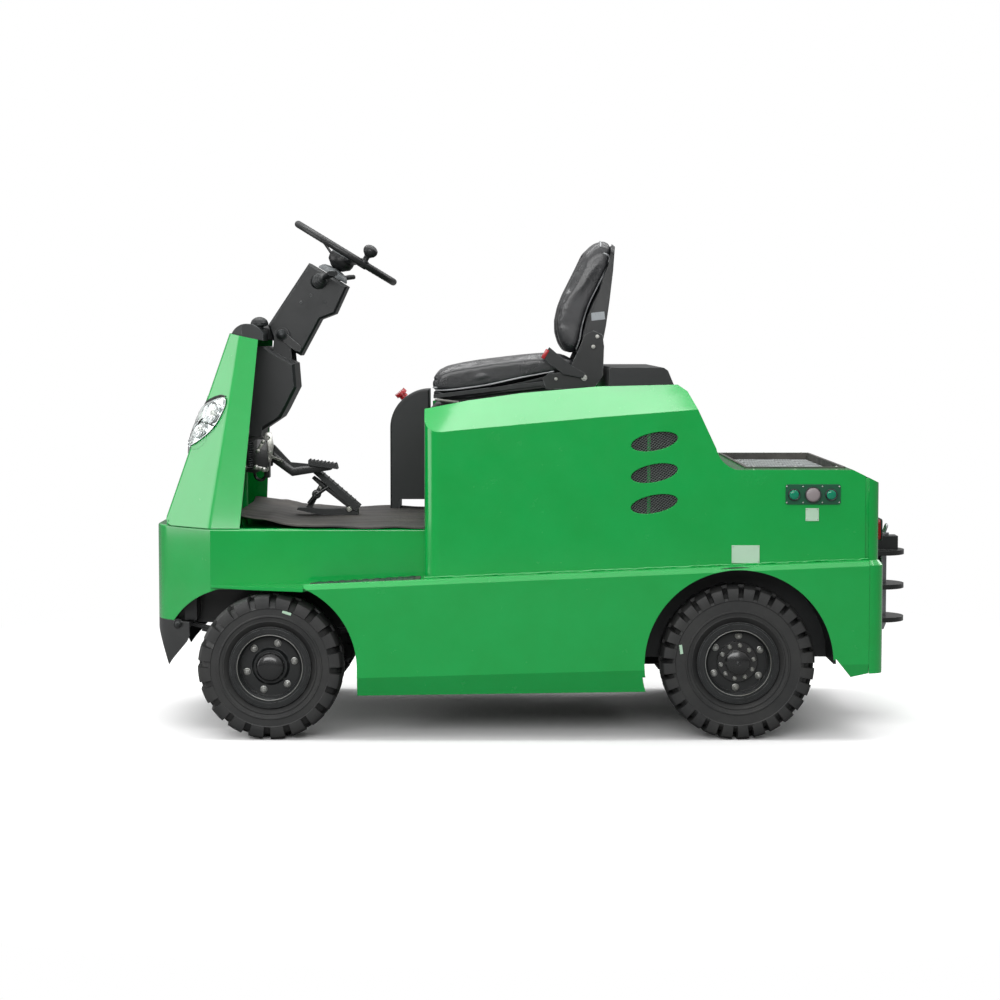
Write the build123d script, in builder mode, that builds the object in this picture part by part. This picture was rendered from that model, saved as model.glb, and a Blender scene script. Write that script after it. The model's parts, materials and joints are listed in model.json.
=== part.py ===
"""Electric tow tractor, in millimetres.

+X points to the rear, +Y to the tractor's right-hand side, +Z up. The origin lies on the
floor, below the middle of the whole vehicle.
"""

import os
from math import asin, cos, radians, sin

from build123d import *

os.makedirs("parts", exist_ok=True)


def keep(piece, label):
    """Name a finished sub-part and write its STEP file."""
    piece.part.label = label
    export_step(piece.part, f"parts/{label}.step")


def keep_pair(piece, label):
    """Write the left-hand sub-part, and its mirror image on the right."""
    keep(piece, f"{label}_left")
    with BuildPart() as twin:
        mirror(piece.part, about=Plane.XZ)
    keep(twin, f"{label}_right")


def between(value, start, end):
    """Straight-line value at `value`, from (position, height) pairs `start` and `end`."""
    share = (value - start[0]) / (end[0] - start[0])
    return start[1] + share * (end[1] - start[1])


def side_face(*points, y=0.0):
    """Closed outline through (x, z) points, seen from the left, standing at `y`."""
    with BuildSketch(Plane.XZ.offset(-y)) as face:
        with BuildLine():
            Polyline(*points, close=True)
        make_face()
    return face.sketch


def plan_face(*points, z=0.0):
    """Closed outline through (x, y) points, lying at height `z`."""
    with BuildSketch(Plane.XY.offset(z)) as face:
        with BuildLine():
            Polyline(*points, close=True)
        make_face()
    return face.sketch


# Sheet thickness, gap between seated pieces, gap between moving pieces
SHEET = 8.0
GAP = 0.3
MOVING_GAP = 6.0

# Lengths, from the front wheels to the towing hitch
FRONT_WHEEL_X = -811.0
FRONT_OVERHANG = 382.0
SEAT_BOX_X = -343.0
BATTERY_BAY_LENGTH = 767.0
SLOPE_TO_WHEEL = 183.0
REAR_OVERHANG = 436.0
PIN_REACH = 80.0
JAW_NOSE = 70.0
NOSE_X = FRONT_WHEEL_X - FRONT_OVERHANG
SLOPE_TOP_X = SEAT_BOX_X + BATTERY_BAY_LENGTH
REAR_WHEEL_X = SLOPE_TOP_X + SLOPE_TO_WHEEL
REAR_X = REAR_WHEEL_X + REAR_OVERHANG
PIN_X = REAR_X + PIN_REACH

# Widths, from the middle
SKIRT_Y = 565.0
BODY_Y = 535.0
FLOOR_Y = 437.0
HOOD_Y = 447.0
RAIL_Y = 455.0

# Heights
FLOOR_Z = 635.0
SIDE_EDGE_Z = 449.0
NOSE_EDGE_Z = 338.0
DECK_Z = 821.0
HOOD_Z = 1000.0
SLOPE_TOP_Z = 1077.0

# Wheels
FRONT_WHEEL_R = 221.0
REAR_WHEEL_R = 235.0
WHEEL_FACE_Y = 540.0
FRONT_TYRE_W = 150.0
REAR_TYRE_W = 138.0
BORE_R = 100.0
FLANGE_R = 124.0
SHAFT_R = 24.0
SHAFT_CLEARANCE = 0.4

# Steering
KINGPIN_Y = 365.0
KINGPIN_R = 14.0
STEERING_ARM = 110.0

# Wheel arches, and the shoulder line that runs from the step up over the rear arch
STEP_X = FRONT_WHEEL_X + 105.0
FRONT_ARCH_R = 265.0
REAR_ARCH_R = 285.0
SHOULDER_FRONT = (STEP_X, 460.0)
SHOULDER_REAR = (REAR_WHEEL_X, REAR_WHEEL_R + REAR_ARCH_R - 4.0)
SHOULDER_BEVEL = 14.0
SHOULDER_BEVEL_IN = 12.0


def shoulder_z(x):
    """Height of the skirt's outer top edge."""
    return between(x, SHOULDER_FRONT, SHOULDER_REAR)


# Nose plan: a flat front with rounded corners, slanting cheeks, straight sides
NOSE_FLAT_Y = 235.0
NOSE_SIDE_X = FRONT_WHEEL_X - 189.0
NOSE_R = 150.0


def nose_plan(inset, rear_x, z):
    """Plan of the front body at height `z`, moved inwards by `inset`."""
    front_x = NOSE_X + inset
    side_y = FLOOR_Y - inset
    cheek_x = NOSE_SIDE_X + 0.41 * inset
    with BuildSketch(Plane.XY.offset(z)) as plan:
        with BuildLine():
            Polyline(
                (front_x, -NOSE_FLAT_Y),
                (cheek_x, -side_y),
                (rear_x, -side_y),
                (rear_x, side_y),
                (cheek_x, side_y),
                (front_x, NOSE_FLAT_Y),
                close=True,
            )
        make_face()
        fillet(plan.vertices().group_by(Axis.X)[0], NOSE_R)
    return plan.sketch


# Front body: nose, floor and side walls in one hollow shell
FLOOR_REAR_X = SEAT_BOX_X - GAP
with BuildPart() as front_body:
    extrude(nose_plan(0, FLOOR_REAR_X, NOSE_EDGE_Z), amount=FLOOR_Z - NOSE_EDGE_Z)
    fillet(front_body.edges().group_by(Axis.Z)[-1].filter_by(lambda e: e.center().X < FLOOR_REAR_X - 1), 7)
    extrude(
        nose_plan(SHEET, FLOOR_REAR_X - SHEET, NOSE_EDGE_Z),
        amount=FLOOR_Z - NOSE_EDGE_Z - SHEET,
        mode=Mode.SUBTRACT,
    )
    with BuildSketch(Plane.XZ):
        with BuildLine():
            arch = ThreePointArc(
                (FRONT_WHEEL_X - 320, NOSE_EDGE_Z),
                (FRONT_WHEEL_X - 267, NOSE_EDGE_Z + 58),
                (FRONT_WHEEL_X - 167, SIDE_EDGE_Z),
            )
            Polyline(
                arch @ 1,
                (FLOOR_REAR_X + 1, SIDE_EDGE_Z),
                (FLOOR_REAR_X + 1, NOSE_EDGE_Z - 1),
                (FRONT_WHEEL_X - 320, NOSE_EDGE_Z - 1),
                arch @ 0,
            )
        make_face()
    extrude(amount=SKIRT_Y, both=True, mode=Mode.SUBTRACT)
keep(front_body, "front_body")

# Bumper lip under the nose, raked back and hollow behind
LIP_LOW_Z = 196.0
LIP_DEPTH = 117.0
LIP_WALL = 12.0
LIP_TOP_Z = NOSE_EDGE_Z - GAP
with BuildPart() as bumper_lip:
    extrude(
        side_face(
            (NOSE_X, LIP_TOP_Z),
            (NOSE_X, LIP_TOP_Z - 24),
            (NOSE_X + 42, LIP_LOW_Z),
            (NOSE_X + 56, LIP_LOW_Z + 20),
            (NOSE_X + LIP_DEPTH - 10, 276),
            (NOSE_X + LIP_DEPTH, 298),
            (NOSE_X + LIP_DEPTH, LIP_TOP_Z),
        ),
        amount=FLOOR_Y,
        both=True,
    )
    extrude(nose_plan(0, NOSE_SIDE_X + 100, LIP_LOW_Z - 1), amount=200, mode=Mode.INTERSECT)
    extrude(
        nose_plan(LIP_WALL, NOSE_SIDE_X + 100, LIP_LOW_Z - 1),
        amount=200,
        mode=Mode.SUBTRACT,
    )
keep(bumper_lip, "bumper_lip")

# Cowl: front and two sides, open to the driver
COWL_BASE_Z = FLOOR_Z + GAP
COWL_TOP_Z = 1233.0
COWL_WALL = 7.0
COWL_EDGE_R = 22.0
# Columns: height, rear x, side fold x, front x, half width of the front, half width
COWL_SECTIONS = [
    (COWL_BASE_Z, FRONT_WHEEL_X - 99, FRONT_WHEEL_X - 195, NOSE_X + 29, 279.0, FLOOR_Y - 1),
    (COWL_TOP_Z, FRONT_WHEEL_X - 56, FRONT_WHEEL_X - 113, FRONT_WHEEL_X - 151, 203.0, 241.0),
]
COWL_CREST = (FRONT_WHEEL_X - 151, COWL_TOP_Z - 2)
COWL_BACK = (FRONT_WHEEL_X - 49, COWL_TOP_Z - 24)


def cowl_plan(section, inset, open_rear=0.0):
    """Plan of the cowl at one of its sections, moved inwards by `inset`, longer by `open_rear`."""
    z, rear_x, fold_x, front_x, front_y, side_y = section
    back = rear_x + open_rear
    return plan_face(
        (front_x + inset, -front_y + 0.4 * inset),
        (fold_x + 0.4 * inset, -side_y + inset),
        (back, -side_y + inset),
        (back, side_y - inset),
        (fold_x + 0.4 * inset, side_y - inset),
        (front_x + inset, front_y - 0.4 * inset),
        z=z,
    )


def above_cowl(rise):
    """Everything higher than the cowl's sloping top plus `rise`, as a face seen from the side."""
    return side_face(
        (COWL_CREST[0] - 60, 1400),
        (COWL_CREST[0] - 60, COWL_CREST[1] + 13 + rise),
        (COWL_CREST[0], COWL_CREST[1] + rise),
        (COWL_BACK[0], COWL_BACK[1] + rise),
        (COWL_BACK[0] + 60, COWL_BACK[1] - 13 + rise),
        (COWL_BACK[0] + 60, 1400),
    )


with BuildPart() as cowl_outside:
    loft([cowl_plan(section, 0) for section in COWL_SECTIONS], ruled=True)
    upright = cowl_outside.edges().filter_by(lambda e: e.length > 500 and e.center().X < FRONT_WHEEL_X - 130)
    fillet(upright, COWL_EDGE_R)
    extrude(above_cowl(0), amount=FLOOR_Y, both=True, mode=Mode.SUBTRACT)

with BuildPart() as cowl_inside:
    loft([cowl_plan(section, COWL_WALL, 60) for section in COWL_SECTIONS], ruled=True)

# Headlamp opening: a teardrop seen along the corner of the cowl
LAMP_X = FRONT_WHEEL_X - 247.0
LAMP_Y = 247.0
LAMP_Z = 947.0
LAMP_DEPTH = 46.0
LAMP_R = 52.0
lamp_plane = Plane(origin=(LAMP_X, -LAMP_Y, LAMP_Z), x_dir=(-1, 1, 0), z_dir=(-0.68, -0.68, 0.27))


def lamp_outline(grow, depth):
    """Teardrop with its point low on the inner side and its round head on top."""
    with BuildSketch(lamp_plane.offset(-depth)) as outline:
        with BuildLine():
            head = CenterArc((-6, 28), LAMP_R + grow, -20, 190)
            tip = (38 + 0.5 * grow, -98 - 1.5 * grow)
            ThreePointArc(head @ 1, (-38 - grow, -30), tip)
            ThreePointArc(tip, (50 + grow, -40), head @ 0)
        make_face()
    return outline.sketch


with BuildPart() as lamp_hole:
    extrude(lamp_outline(GAP, LAMP_DEPTH + 30), amount=LAMP_DEPTH + 130)
    mirror(about=Plane.XZ)

with BuildPart() as cowl:
    add(cowl_outside.part)
    add(cowl_inside.part, mode=Mode.SUBTRACT)
    add(lamp_hole.part, mode=Mode.SUBTRACT)
keep(cowl, "cowl")

# Headlamps: lens bodies flush with the cowl, wrapped round its corners
with BuildPart() as headlamp:
    extrude(lamp_outline(0, LAMP_DEPTH), amount=LAMP_DEPTH + 100)
    add(cowl_outside.part, mode=Mode.INTERSECT)
keep_pair(headlamp, "headlamp")

# Cowl top: domed cover round the column, with the mushroom knob
COVER_REAR_X = FRONT_WHEEL_X - 42.0
COVER_RISE = 34.0
COLUMN_NOTCH = 84.0
KNOB_Y = -150.0
KNOB_R = 28.0
COVER_FRONT_X = COWL_CREST[0] + 6
with BuildPart() as cowl_top_cover:
    with BuildSketch(Plane.XZ):
        with BuildLine():
            dome = ThreePointArc(
                (COVER_FRONT_X, COWL_CREST[1]),
                (COVER_FRONT_X + 36, COWL_CREST[1] + COVER_RISE - 6),
                (COVER_REAR_X, COWL_BACK[1] + COVER_RISE - 14),
            )
            Polyline(
                dome @ 1,
                (COVER_REAR_X, between(COVER_REAR_X, COWL_CREST, COWL_BACK) + GAP),
                (COVER_FRONT_X, between(COVER_FRONT_X, COWL_CREST, COWL_BACK) + GAP),
                dome @ 0,
            )
        make_face()
    extrude(amount=COWL_SECTIONS[1][5] - 3, both=True)
    extrude(
        plan_face(
            (COVER_FRONT_X - 1, -COWL_SECTIONS[1][4] + 8),
            (COVER_FRONT_X + 36, -COWL_SECTIONS[1][5] + 3),
            (COVER_REAR_X + 1, -COWL_SECTIONS[1][5] + 3),
            (COVER_REAR_X + 1, -COLUMN_NOTCH),
            (COVER_REAR_X - 16, -COLUMN_NOTCH),
            (COVER_REAR_X - 16, COLUMN_NOTCH),
            (COVER_REAR_X + 1, COLUMN_NOTCH),
            (COVER_REAR_X + 1, COWL_SECTIONS[1][5] - 3),
            (COVER_FRONT_X + 36, COWL_SECTIONS[1][5] - 3),
            (COVER_FRONT_X - 1, COWL_SECTIONS[1][4] - 8),
            z=1100,
        ),
        amount=300,
        mode=Mode.INTERSECT,
    )
    with BuildSketch(Plane.XZ.offset(-KNOB_Y)):
        with BuildLine():
            knob_x = COVER_REAR_X - KNOB_R + 8
            knob_z = COWL_BACK[1] + 47
            cap = CenterArc((knob_x, knob_z - 5), 32, 40, 50)
            Polyline(
                cap @ 1,
                (knob_x, knob_z - 34),
                (knob_x + 13, knob_z - 34),
                (knob_x + 13, knob_z - 4),
                (knob_x + KNOB_R, knob_z),
                (knob_x + KNOB_R, knob_z + 8),
                cap @ 0,
            )
        make_face()
    revolve(axis=Axis((knob_x, KNOB_Y, 0), (0, 0, 1)))
keep(cowl_top_cover, "cowl_top_cover")

# Fenders with the step ledge, and the anti-slip treads
FENDER_T = 12.0
LEDGE_FRONT = (STEP_X, 466.0)
LEDGE_REAR = (FLOOR_REAR_X, 489.0)
LEDGE_Y = SKIRT_Y - SHOULDER_BEVEL_IN - SHEET
with BuildPart() as fender:
    extrude(
        side_face(
            (NOSE_SIDE_X, LEDGE_FRONT[1] - FENDER_T),
            (NOSE_SIDE_X, LEDGE_FRONT[1] - 3),
            LEDGE_FRONT,
            LEDGE_REAR,
            (LEDGE_REAR[0], LEDGE_REAR[1] - FENDER_T),
            (STEP_X, LEDGE_FRONT[1] - FENDER_T),
        ),
        amount=SKIRT_Y,
    )
    extrude(
        plan_face(
            (NOSE_SIDE_X, -FLOOR_Y - GAP),
            (NOSE_SIDE_X + 60, -FLOOR_Y - 35),
            (NOSE_SIDE_X + 120, -FLOOR_Y - 67),
            (STEP_X - GAP, -SKIRT_Y),
            (STEP_X - GAP, -LEDGE_Y),
            (FLOOR_REAR_X, -LEDGE_Y),
            (FLOOR_REAR_X, -FLOOR_Y - GAP),
            z=LEDGE_FRONT[1] - 2 * FENDER_T,
        ),
        amount=100,
        mode=Mode.INTERSECT,
    )
keep_pair(fender, "fender")

TREAD_T = 3.0
TREAD_MARGIN = 12.0
ledge_slope = (LEDGE_REAR[1] - LEDGE_FRONT[1]) / (LEDGE_REAR[0] - LEDGE_FRONT[0])
with BuildPart() as step_treads:
    tread_plane = Plane(
        origin=((STEP_X + FLOOR_REAR_X) / 2, -(FLOOR_Y + LEDGE_Y) / 2, (LEDGE_FRONT[1] + LEDGE_REAR[1]) / 2 + GAP),
        x_dir=(1, 0, ledge_slope),
        z_dir=(-ledge_slope, 0, 1),
    )
    with BuildSketch(tread_plane):
        RectangleRounded(FLOOR_REAR_X - STEP_X - 2 * TREAD_MARGIN, LEDGE_Y - FLOOR_Y - TREAD_MARGIN, 10)
    extrude(amount=TREAD_T)
    mirror(about=Plane.XZ)
keep(step_treads, "step_treads")

# Skirts: folded side plates with the wheel arches cut out
SKIRT_FRONT_X = FRONT_WHEEL_X + FRONT_ARCH_R
SKIRT_REAR_X = REAR_X - 45.0
ARCH_REAR_X = REAR_WHEEL_X + REAR_ARCH_R
TUCK_IN = 34.0
SKIRT_LOW_Z = 120.0
TUCK_FRONT = (SKIRT_FRONT_X, 193.0)
TUCK_REAR = (SKIRT_REAR_X, 236.0)
with BuildPart() as skirt:
    for x in (STEP_X, SKIRT_REAR_X):
        top = shoulder_z(x)
        tuck = between(x, TUCK_FRONT, TUCK_REAR)
        with BuildSketch(Plane.YZ.offset(x)):
            with BuildLine():
                Polyline(
                    (-SKIRT_Y + TUCK_IN, SKIRT_LOW_Z),
                    (-SKIRT_Y, tuck),
                    (-SKIRT_Y, top),
                    (-SKIRT_Y + SHOULDER_BEVEL_IN, top + SHOULDER_BEVEL),
                    (-BODY_Y - GAP, top + SHOULDER_BEVEL + 4),
                    (-BODY_Y - GAP, top + SHOULDER_BEVEL + 4 - SHEET),
                    (-SKIRT_Y + SHOULDER_BEVEL_IN + 2, top + SHOULDER_BEVEL - SHEET),
                    (-SKIRT_Y + SHEET, top - 3),
                    (-SKIRT_Y + SHEET, tuck + 1),
                    (-SKIRT_Y + TUCK_IN + SHEET, SKIRT_LOW_Z),
                    close=True,
                )
            make_face()
    loft(ruled=True)
    with BuildSketch(Plane.XZ):
        with BuildLine():
            Polyline(
                (STEP_X, 700),
                (STEP_X, 136),
                (SKIRT_FRONT_X, 136),
                (REAR_WHEEL_X - REAR_ARCH_R - 1, 148),
                (REAR_WHEEL_X, 160),
                (ARCH_REAR_X + 8, REAR_WHEEL_R + 15),
                ((ARCH_REAR_X + SKIRT_REAR_X) / 2, 195),
                (SKIRT_REAR_X, 207),
                (SKIRT_REAR_X, 700),
                close=True,
            )
        make_face()
        with Locations((FRONT_WHEEL_X, FRONT_WHEEL_R)):
            Circle(FRONT_ARCH_R, mode=Mode.SUBTRACT)
            with Locations((0, -FRONT_ARCH_R)):
                Rectangle(2 * FRONT_ARCH_R, 2 * FRONT_ARCH_R, mode=Mode.SUBTRACT)
        with Locations((REAR_WHEEL_X, REAR_WHEEL_R)):
            Circle(REAR_ARCH_R, mode=Mode.SUBTRACT)
    extrude(amount=SKIRT_Y + 10, mode=Mode.INTERSECT)
    with Locations(((STEP_X + FLOOR_REAR_X) / 2, -LEDGE_Y + 50, 500)):
        Box(FLOOR_REAR_X - STEP_X, 100 + 2 * GAP, 200, mode=Mode.SUBTRACT)
    with BuildSketch(Plane.XZ.offset(SKIRT_Y - SHEET)):
        with Locations((REAR_WHEEL_X, REAR_WHEEL_R)):
            Circle(REAR_ARCH_R + SHEET + GAP)
    extrude(amount=-100, mode=Mode.SUBTRACT)
keep_pair(skirt, "skirt")

# Upper body: one hull, cut into its panels
BODY_REAR_X = REAR_X - 10.0
FRONT_CORNER_R = 50.0
REAR_CORNER_R = 45.0
DECK_REAR_X = REAR_X - 94.0
# Columns: x, height of the chamfer's lower edge, height of its upper edge
BODY_SECTIONS = [
    (SEAT_BOX_X, 930.0, HOOD_Z + 2),
    (SEAT_BOX_X + 130, 942.5, HOOD_Z + 27),
    (SEAT_BOX_X + 295, 958.0, HOOD_Z + 50),
    (SEAT_BOX_X + 526, 979.0, SLOPE_TOP_Z - 7),
    (SLOPE_TOP_X + 52, 1002.0, SLOPE_TOP_Z),
    (BODY_REAR_X, 1010.0, SLOPE_TOP_Z + 3),
]


def upper_hull(inset):
    """Upper body as one solid, with every outer face moved inwards by `inset`."""
    front_x = SEAT_BOX_X + inset
    rear_x = BODY_REAR_X - inset
    top_x = SLOPE_TOP_X - inset
    deck_z = DECK_Z - inset
    low = 4 + 1.4 * inset
    with BuildPart() as hull:
        for x, edge_z, top_z in BODY_SECTIONS:
            with BuildSketch(Plane.YZ.offset(x)):
                with BuildLine():
                    Polyline(
                        (-BODY_Y + inset, 300),
                        (-BODY_Y + inset, edge_z - inset),
                        (-RAIL_Y + inset, top_z - inset),
                        (RAIL_Y - inset, top_z - inset),
                        (BODY_Y - inset, edge_z - inset),
                        (BODY_Y - inset, 300),
                        close=True,
                    )
                make_face()
        loft(ruled=True)
        with BuildSketch(Plane.XZ):
            with BuildLine():
                sweep_in = ThreePointArc(
                    (top_x + 113, DECK_Z + 64),
                    (top_x + 136, DECK_Z + 22),
                    (top_x + 174, deck_z),
                )
                Polyline(
                    sweep_in @ 1,
                    (DECK_REAR_X, deck_z),
                    (rear_x, deck_z - 41),
                    (rear_x, shoulder_z(rear_x) - low),
                    (front_x, shoulder_z(front_x) - low),
                    (front_x, SLOPE_TOP_Z + 100),
                    (top_x - 60, SLOPE_TOP_Z + 100),
                    (top_x, SLOPE_TOP_Z),
                    (top_x + 30, SLOPE_TOP_Z - 21),
                    (top_x + 58, SLOPE_TOP_Z - 75),
                    sweep_in @ 0,
                )
            make_face()
        extrude(amount=BODY_Y + 10, both=True, mode=Mode.INTERSECT)
        with BuildSketch(Plane.XY.offset(300)) as plan:
            with Locations(((front_x + rear_x) / 2, 0)):
                Rectangle(rear_x - front_x, 2 * (BODY_Y - inset))
            fillet(plan.vertices().group_by(Axis.X)[0], FRONT_CORNER_R - inset)
            fillet(plan.vertices().group_by(Axis.X)[-1], REAR_CORNER_R - inset)
        extrude(amount=900, mode=Mode.INTERSECT)
    return hull.part


outer_hull = upper_hull(0)
inner_hull = upper_hull(SHEET)

VENT_X = REAR_WHEEL_X - 256.0
VENT_HEIGHTS = (906.0, 811.0, 718.0)
VENT_HALF_LENGTH = 72.0
VENT_HALF_HEIGHT = 27.0
VENT_TILT = 11.0
PANEL_REAR_X = BODY_REAR_X - REAR_CORNER_R
with BuildPart() as rail:
    add(outer_hull)
    with Locations(((SEAT_BOX_X + SLOPE_TOP_X) / 2, -(HOOD_Y + RAIL_Y) / 2, HOOD_Z + 100)):
        Box(SLOPE_TOP_X - SEAT_BOX_X, RAIL_Y - HOOD_Y, 240, mode=Mode.INTERSECT)

with BuildPart() as side_panel:
    add(outer_hull)
    add(inner_hull, mode=Mode.SUBTRACT)
    with Locations((SEAT_BOX_X - 50 + (PANEL_REAR_X - SEAT_BOX_X + 50) / 2, -(HOOD_Y + BODY_Y + 40) / 2, 800)):
        Box(PANEL_REAR_X - SEAT_BOX_X + 50, BODY_Y + 40 - HOOD_Y, 900, mode=Mode.INTERSECT)
    add(rail.part)
    with BuildSketch(Plane.XZ.offset(BODY_Y + 5)):
        with Locations(*[(VENT_X, z) for z in VENT_HEIGHTS]):
            Ellipse(VENT_HALF_LENGTH, VENT_HALF_HEIGHT, rotation=VENT_TILT)
        with Locations((REAR_WHEEL_X, REAR_WHEEL_R)):
            Circle(REAR_ARCH_R + SHEET + GAP)
    extrude(amount=-SHEET - 10, mode=Mode.SUBTRACT)
keep_pair(side_panel, "side_panel")

# Vent mesh behind the ellipses
MESH_T = 4.0
MESH_MARGIN = 18.0
with BuildPart() as vent_mesh:
    with BuildSketch(Plane.XZ.offset(BODY_Y - SHEET - GAP)):
        with Locations((VENT_X, (VENT_HEIGHTS[0] + VENT_HEIGHTS[-1]) / 2)):
            Rectangle(
                2 * (VENT_HALF_LENGTH + MESH_MARGIN),
                VENT_HEIGHTS[0] - VENT_HEIGHTS[-1] + 2 * (VENT_HALF_HEIGHT + MESH_MARGIN + 4),
            )
    extrude(amount=-MESH_T)
    mirror(about=Plane.XZ)
keep(vent_mesh, "vent_mesh")

# Front wall of the battery box, with the flange and the buffers that the hood rests on
STOP_R = 12.0
HOOD_EDGE_Z = HOOD_Z - 15.0
HOOD_STOP_GAP = 5.0
BOX_TOP_Z = HOOD_EDGE_Z - HOOD_STOP_GAP
with BuildPart() as seat_box_front:
    add(outer_hull)
    add(inner_hull, mode=Mode.SUBTRACT)
    low_z = shoulder_z(SEAT_BOX_X) + 12
    with Locations((SEAT_BOX_X, 0, (low_z + BOX_TOP_Z) / 2)):
        Box(100, 2 * (HOOD_Y - GAP), BOX_TOP_Z - low_z, mode=Mode.INTERSECT)
    with Locations((SEAT_BOX_X + 20, 0, BOX_TOP_Z - SHEET / 2)):
        Box(40, 2 * (HOOD_Y - GAP), SHEET)
    for y in (-300, 300):
        with BuildSketch(Plane.XY.offset(BOX_TOP_Z)):
            with Locations((SEAT_BOX_X + 14, y)):
                Circle(STOP_R)
        extrude(amount=HOOD_STOP_GAP - GAP)
keep(seat_box_front, "seat_box_front")

# Rear slope and deck in one sheet, with the middle knuckle of the hood's hinge
TRAY_FRONT_X = SLOPE_TOP_X + 208.0
TRAY_REAR_X = REAR_X - 102.0
TRAY_Y = 440.0
TRAY_DEPTH = 26.0
TRAY_RIM = 4.0
HINGE_X = SLOPE_TOP_X + 12.0
HINGE_Z = SLOPE_TOP_Z - 19.0
HINGE_R = 8.0
HINGE_PIN_R = 3.5
HINGE_MIDDLE = 100.0
HINGE_END = 180.0
DECK_FRONT_X = HINGE_X + 12.0
with BuildPart() as rear_deck:
    add(outer_hull)
    add(inner_hull, mode=Mode.SUBTRACT)
    with Locations(((DECK_FRONT_X + PANEL_REAR_X) / 2, 0, 940)):
        Box(PANEL_REAR_X - DECK_FRONT_X, 2 * (HOOD_Y - GAP), 280, mode=Mode.INTERSECT)
    with Locations(((TRAY_FRONT_X + TRAY_REAR_X) / 2, 0, DECK_Z)):
        Box(TRAY_REAR_X - TRAY_FRONT_X, 2 * TRAY_Y, 60, mode=Mode.SUBTRACT)
    with Locations(((HINGE_X + DECK_FRONT_X + 3) / 2, 0, HINGE_Z - HINGE_R + 3)):
        Box(DECK_FRONT_X + 3 - HINGE_X, 2 * HINGE_MIDDLE, 6)
    with Locations((HINGE_X, 0, HINGE_Z)):
        Cylinder(HINGE_R, 2 * HINGE_MIDDLE, rotation=(90, 0, 0))
        Cylinder(HINGE_PIN_R, 2 * HINGE_END, rotation=(90, 0, 0))
keep(rear_deck, "rear_deck")

# Rear panel: upper wall with rounded corners, apron below it, and the folded ledge between
APRON_LOW_Z = 207.0
APRON_TOP_Z = shoulder_z(REAR_X)


def apron_plan(inset, z):
    """Plan of the apron's outside at height `z`, moved inwards by `inset`."""
    with BuildSketch(Plane.XY.offset(z)) as plan:
        with Locations(((SKIRT_REAR_X + REAR_X) / 2 - 100, 0)):
            Rectangle(REAR_X - SKIRT_REAR_X + 200 - 2 * inset, 2 * (SKIRT_Y - inset))
        fillet(plan.vertices().group_by(Axis.X)[-1], REAR_CORNER_R - inset)
    return plan.sketch


with BuildPart() as rear_panel:
    extrude(apron_plan(0, APRON_LOW_Z), amount=APRON_TOP_Z - APRON_LOW_Z)
    loft([apron_plan(0, APRON_TOP_Z), apron_plan(SHOULDER_BEVEL_IN, APRON_TOP_Z + SHOULDER_BEVEL)])
    extrude(apron_plan(SHEET, APRON_LOW_Z), amount=APRON_TOP_Z - APRON_LOW_Z, mode=Mode.SUBTRACT)
    add(outer_hull)
    add(inner_hull, mode=Mode.SUBTRACT)
    with Locations((SKIRT_REAR_X + GAP - 1000, 0, 700)):
        Box(2000, 2 * SKIRT_Y + 10, 1200, mode=Mode.SUBTRACT)
keep(rear_panel, "rear_panel")

# Load tray, let into the deck
with BuildPart() as load_tray:
    tray_length = TRAY_REAR_X - TRAY_FRONT_X - 2 * GAP
    tray_width = 2 * (TRAY_Y - GAP)
    tray_centre = (TRAY_FRONT_X + TRAY_REAR_X) / 2
    tray_top = DECK_Z + TRAY_RIM
    with Locations((tray_centre, 0, tray_top - (TRAY_DEPTH + 10) / 2)):
        Box(tray_length, tray_width, TRAY_DEPTH + 10)
    fillet(load_tray.edges().filter_by(Axis.Z), 8)
    with Locations((tray_centre, 0, tray_top - TRAY_DEPTH / 2)):
        Box(tray_length - 20, tray_width - 20, TRAY_DEPTH, mode=Mode.SUBTRACT)
keep(load_tray, "load_tray")

# Tail lamps on the rear panel, button panel and blank plates on the left side
LAMP_T = 14.0
TAIL_LAMP_Y = 420.0
TAIL_LAMP_Z = 634.0
with BuildPart() as tail_lamps:
    with BuildSketch(Plane.YZ.offset(BODY_REAR_X + GAP)):
        with Locations((-TAIL_LAMP_Y, TAIL_LAMP_Z), (TAIL_LAMP_Y, TAIL_LAMP_Z)):
            RectangleRounded(110, 62, 12)
    extrude(amount=LAMP_T)
    chamfer(tail_lamps.faces().group_by(Axis.X)[-1].edges(), 3)
keep(tail_lamps, "tail_lamps")

# Columns: distance behind the rear wheel's centre, radius
BUTTONS = [(164.0, 14.0), (221.0, 20.0), (276.0, 14.0)]
BUTTON_Z = 747.0
PANEL_T = 3.0
with BuildPart() as button_panel:
    with BuildSketch(Plane.XZ.offset(BODY_Y + GAP)):
        with Locations((REAR_WHEEL_X + 222, BUTTON_Z)):
            RectangleRounded(166, 61, 8)
    extrude(amount=PANEL_T)
    with BuildSketch(Plane.XZ.offset(BODY_Y + GAP + PANEL_T)):
        for behind, radius in BUTTONS:
            with Locations((REAR_WHEEL_X + behind, BUTTON_Z)):
                Circle(radius)
    extrude(amount=7)
keep(button_panel, "button_panel")

with BuildPart() as side_plates:
    with BuildSketch(Plane.XZ.offset(BODY_Y + GAP)):
        with Locations((REAR_WHEEL_X + 220, BUTTON_Z - 61)):
            Rectangle(40, 39)
        with Locations((REAR_WHEEL_X + 20, shoulder_z(REAR_WHEEL_X) + 50)):
            Rectangle(84, 54)
    extrude(amount=1.5)
keep(side_plates, "side_plates")

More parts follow.
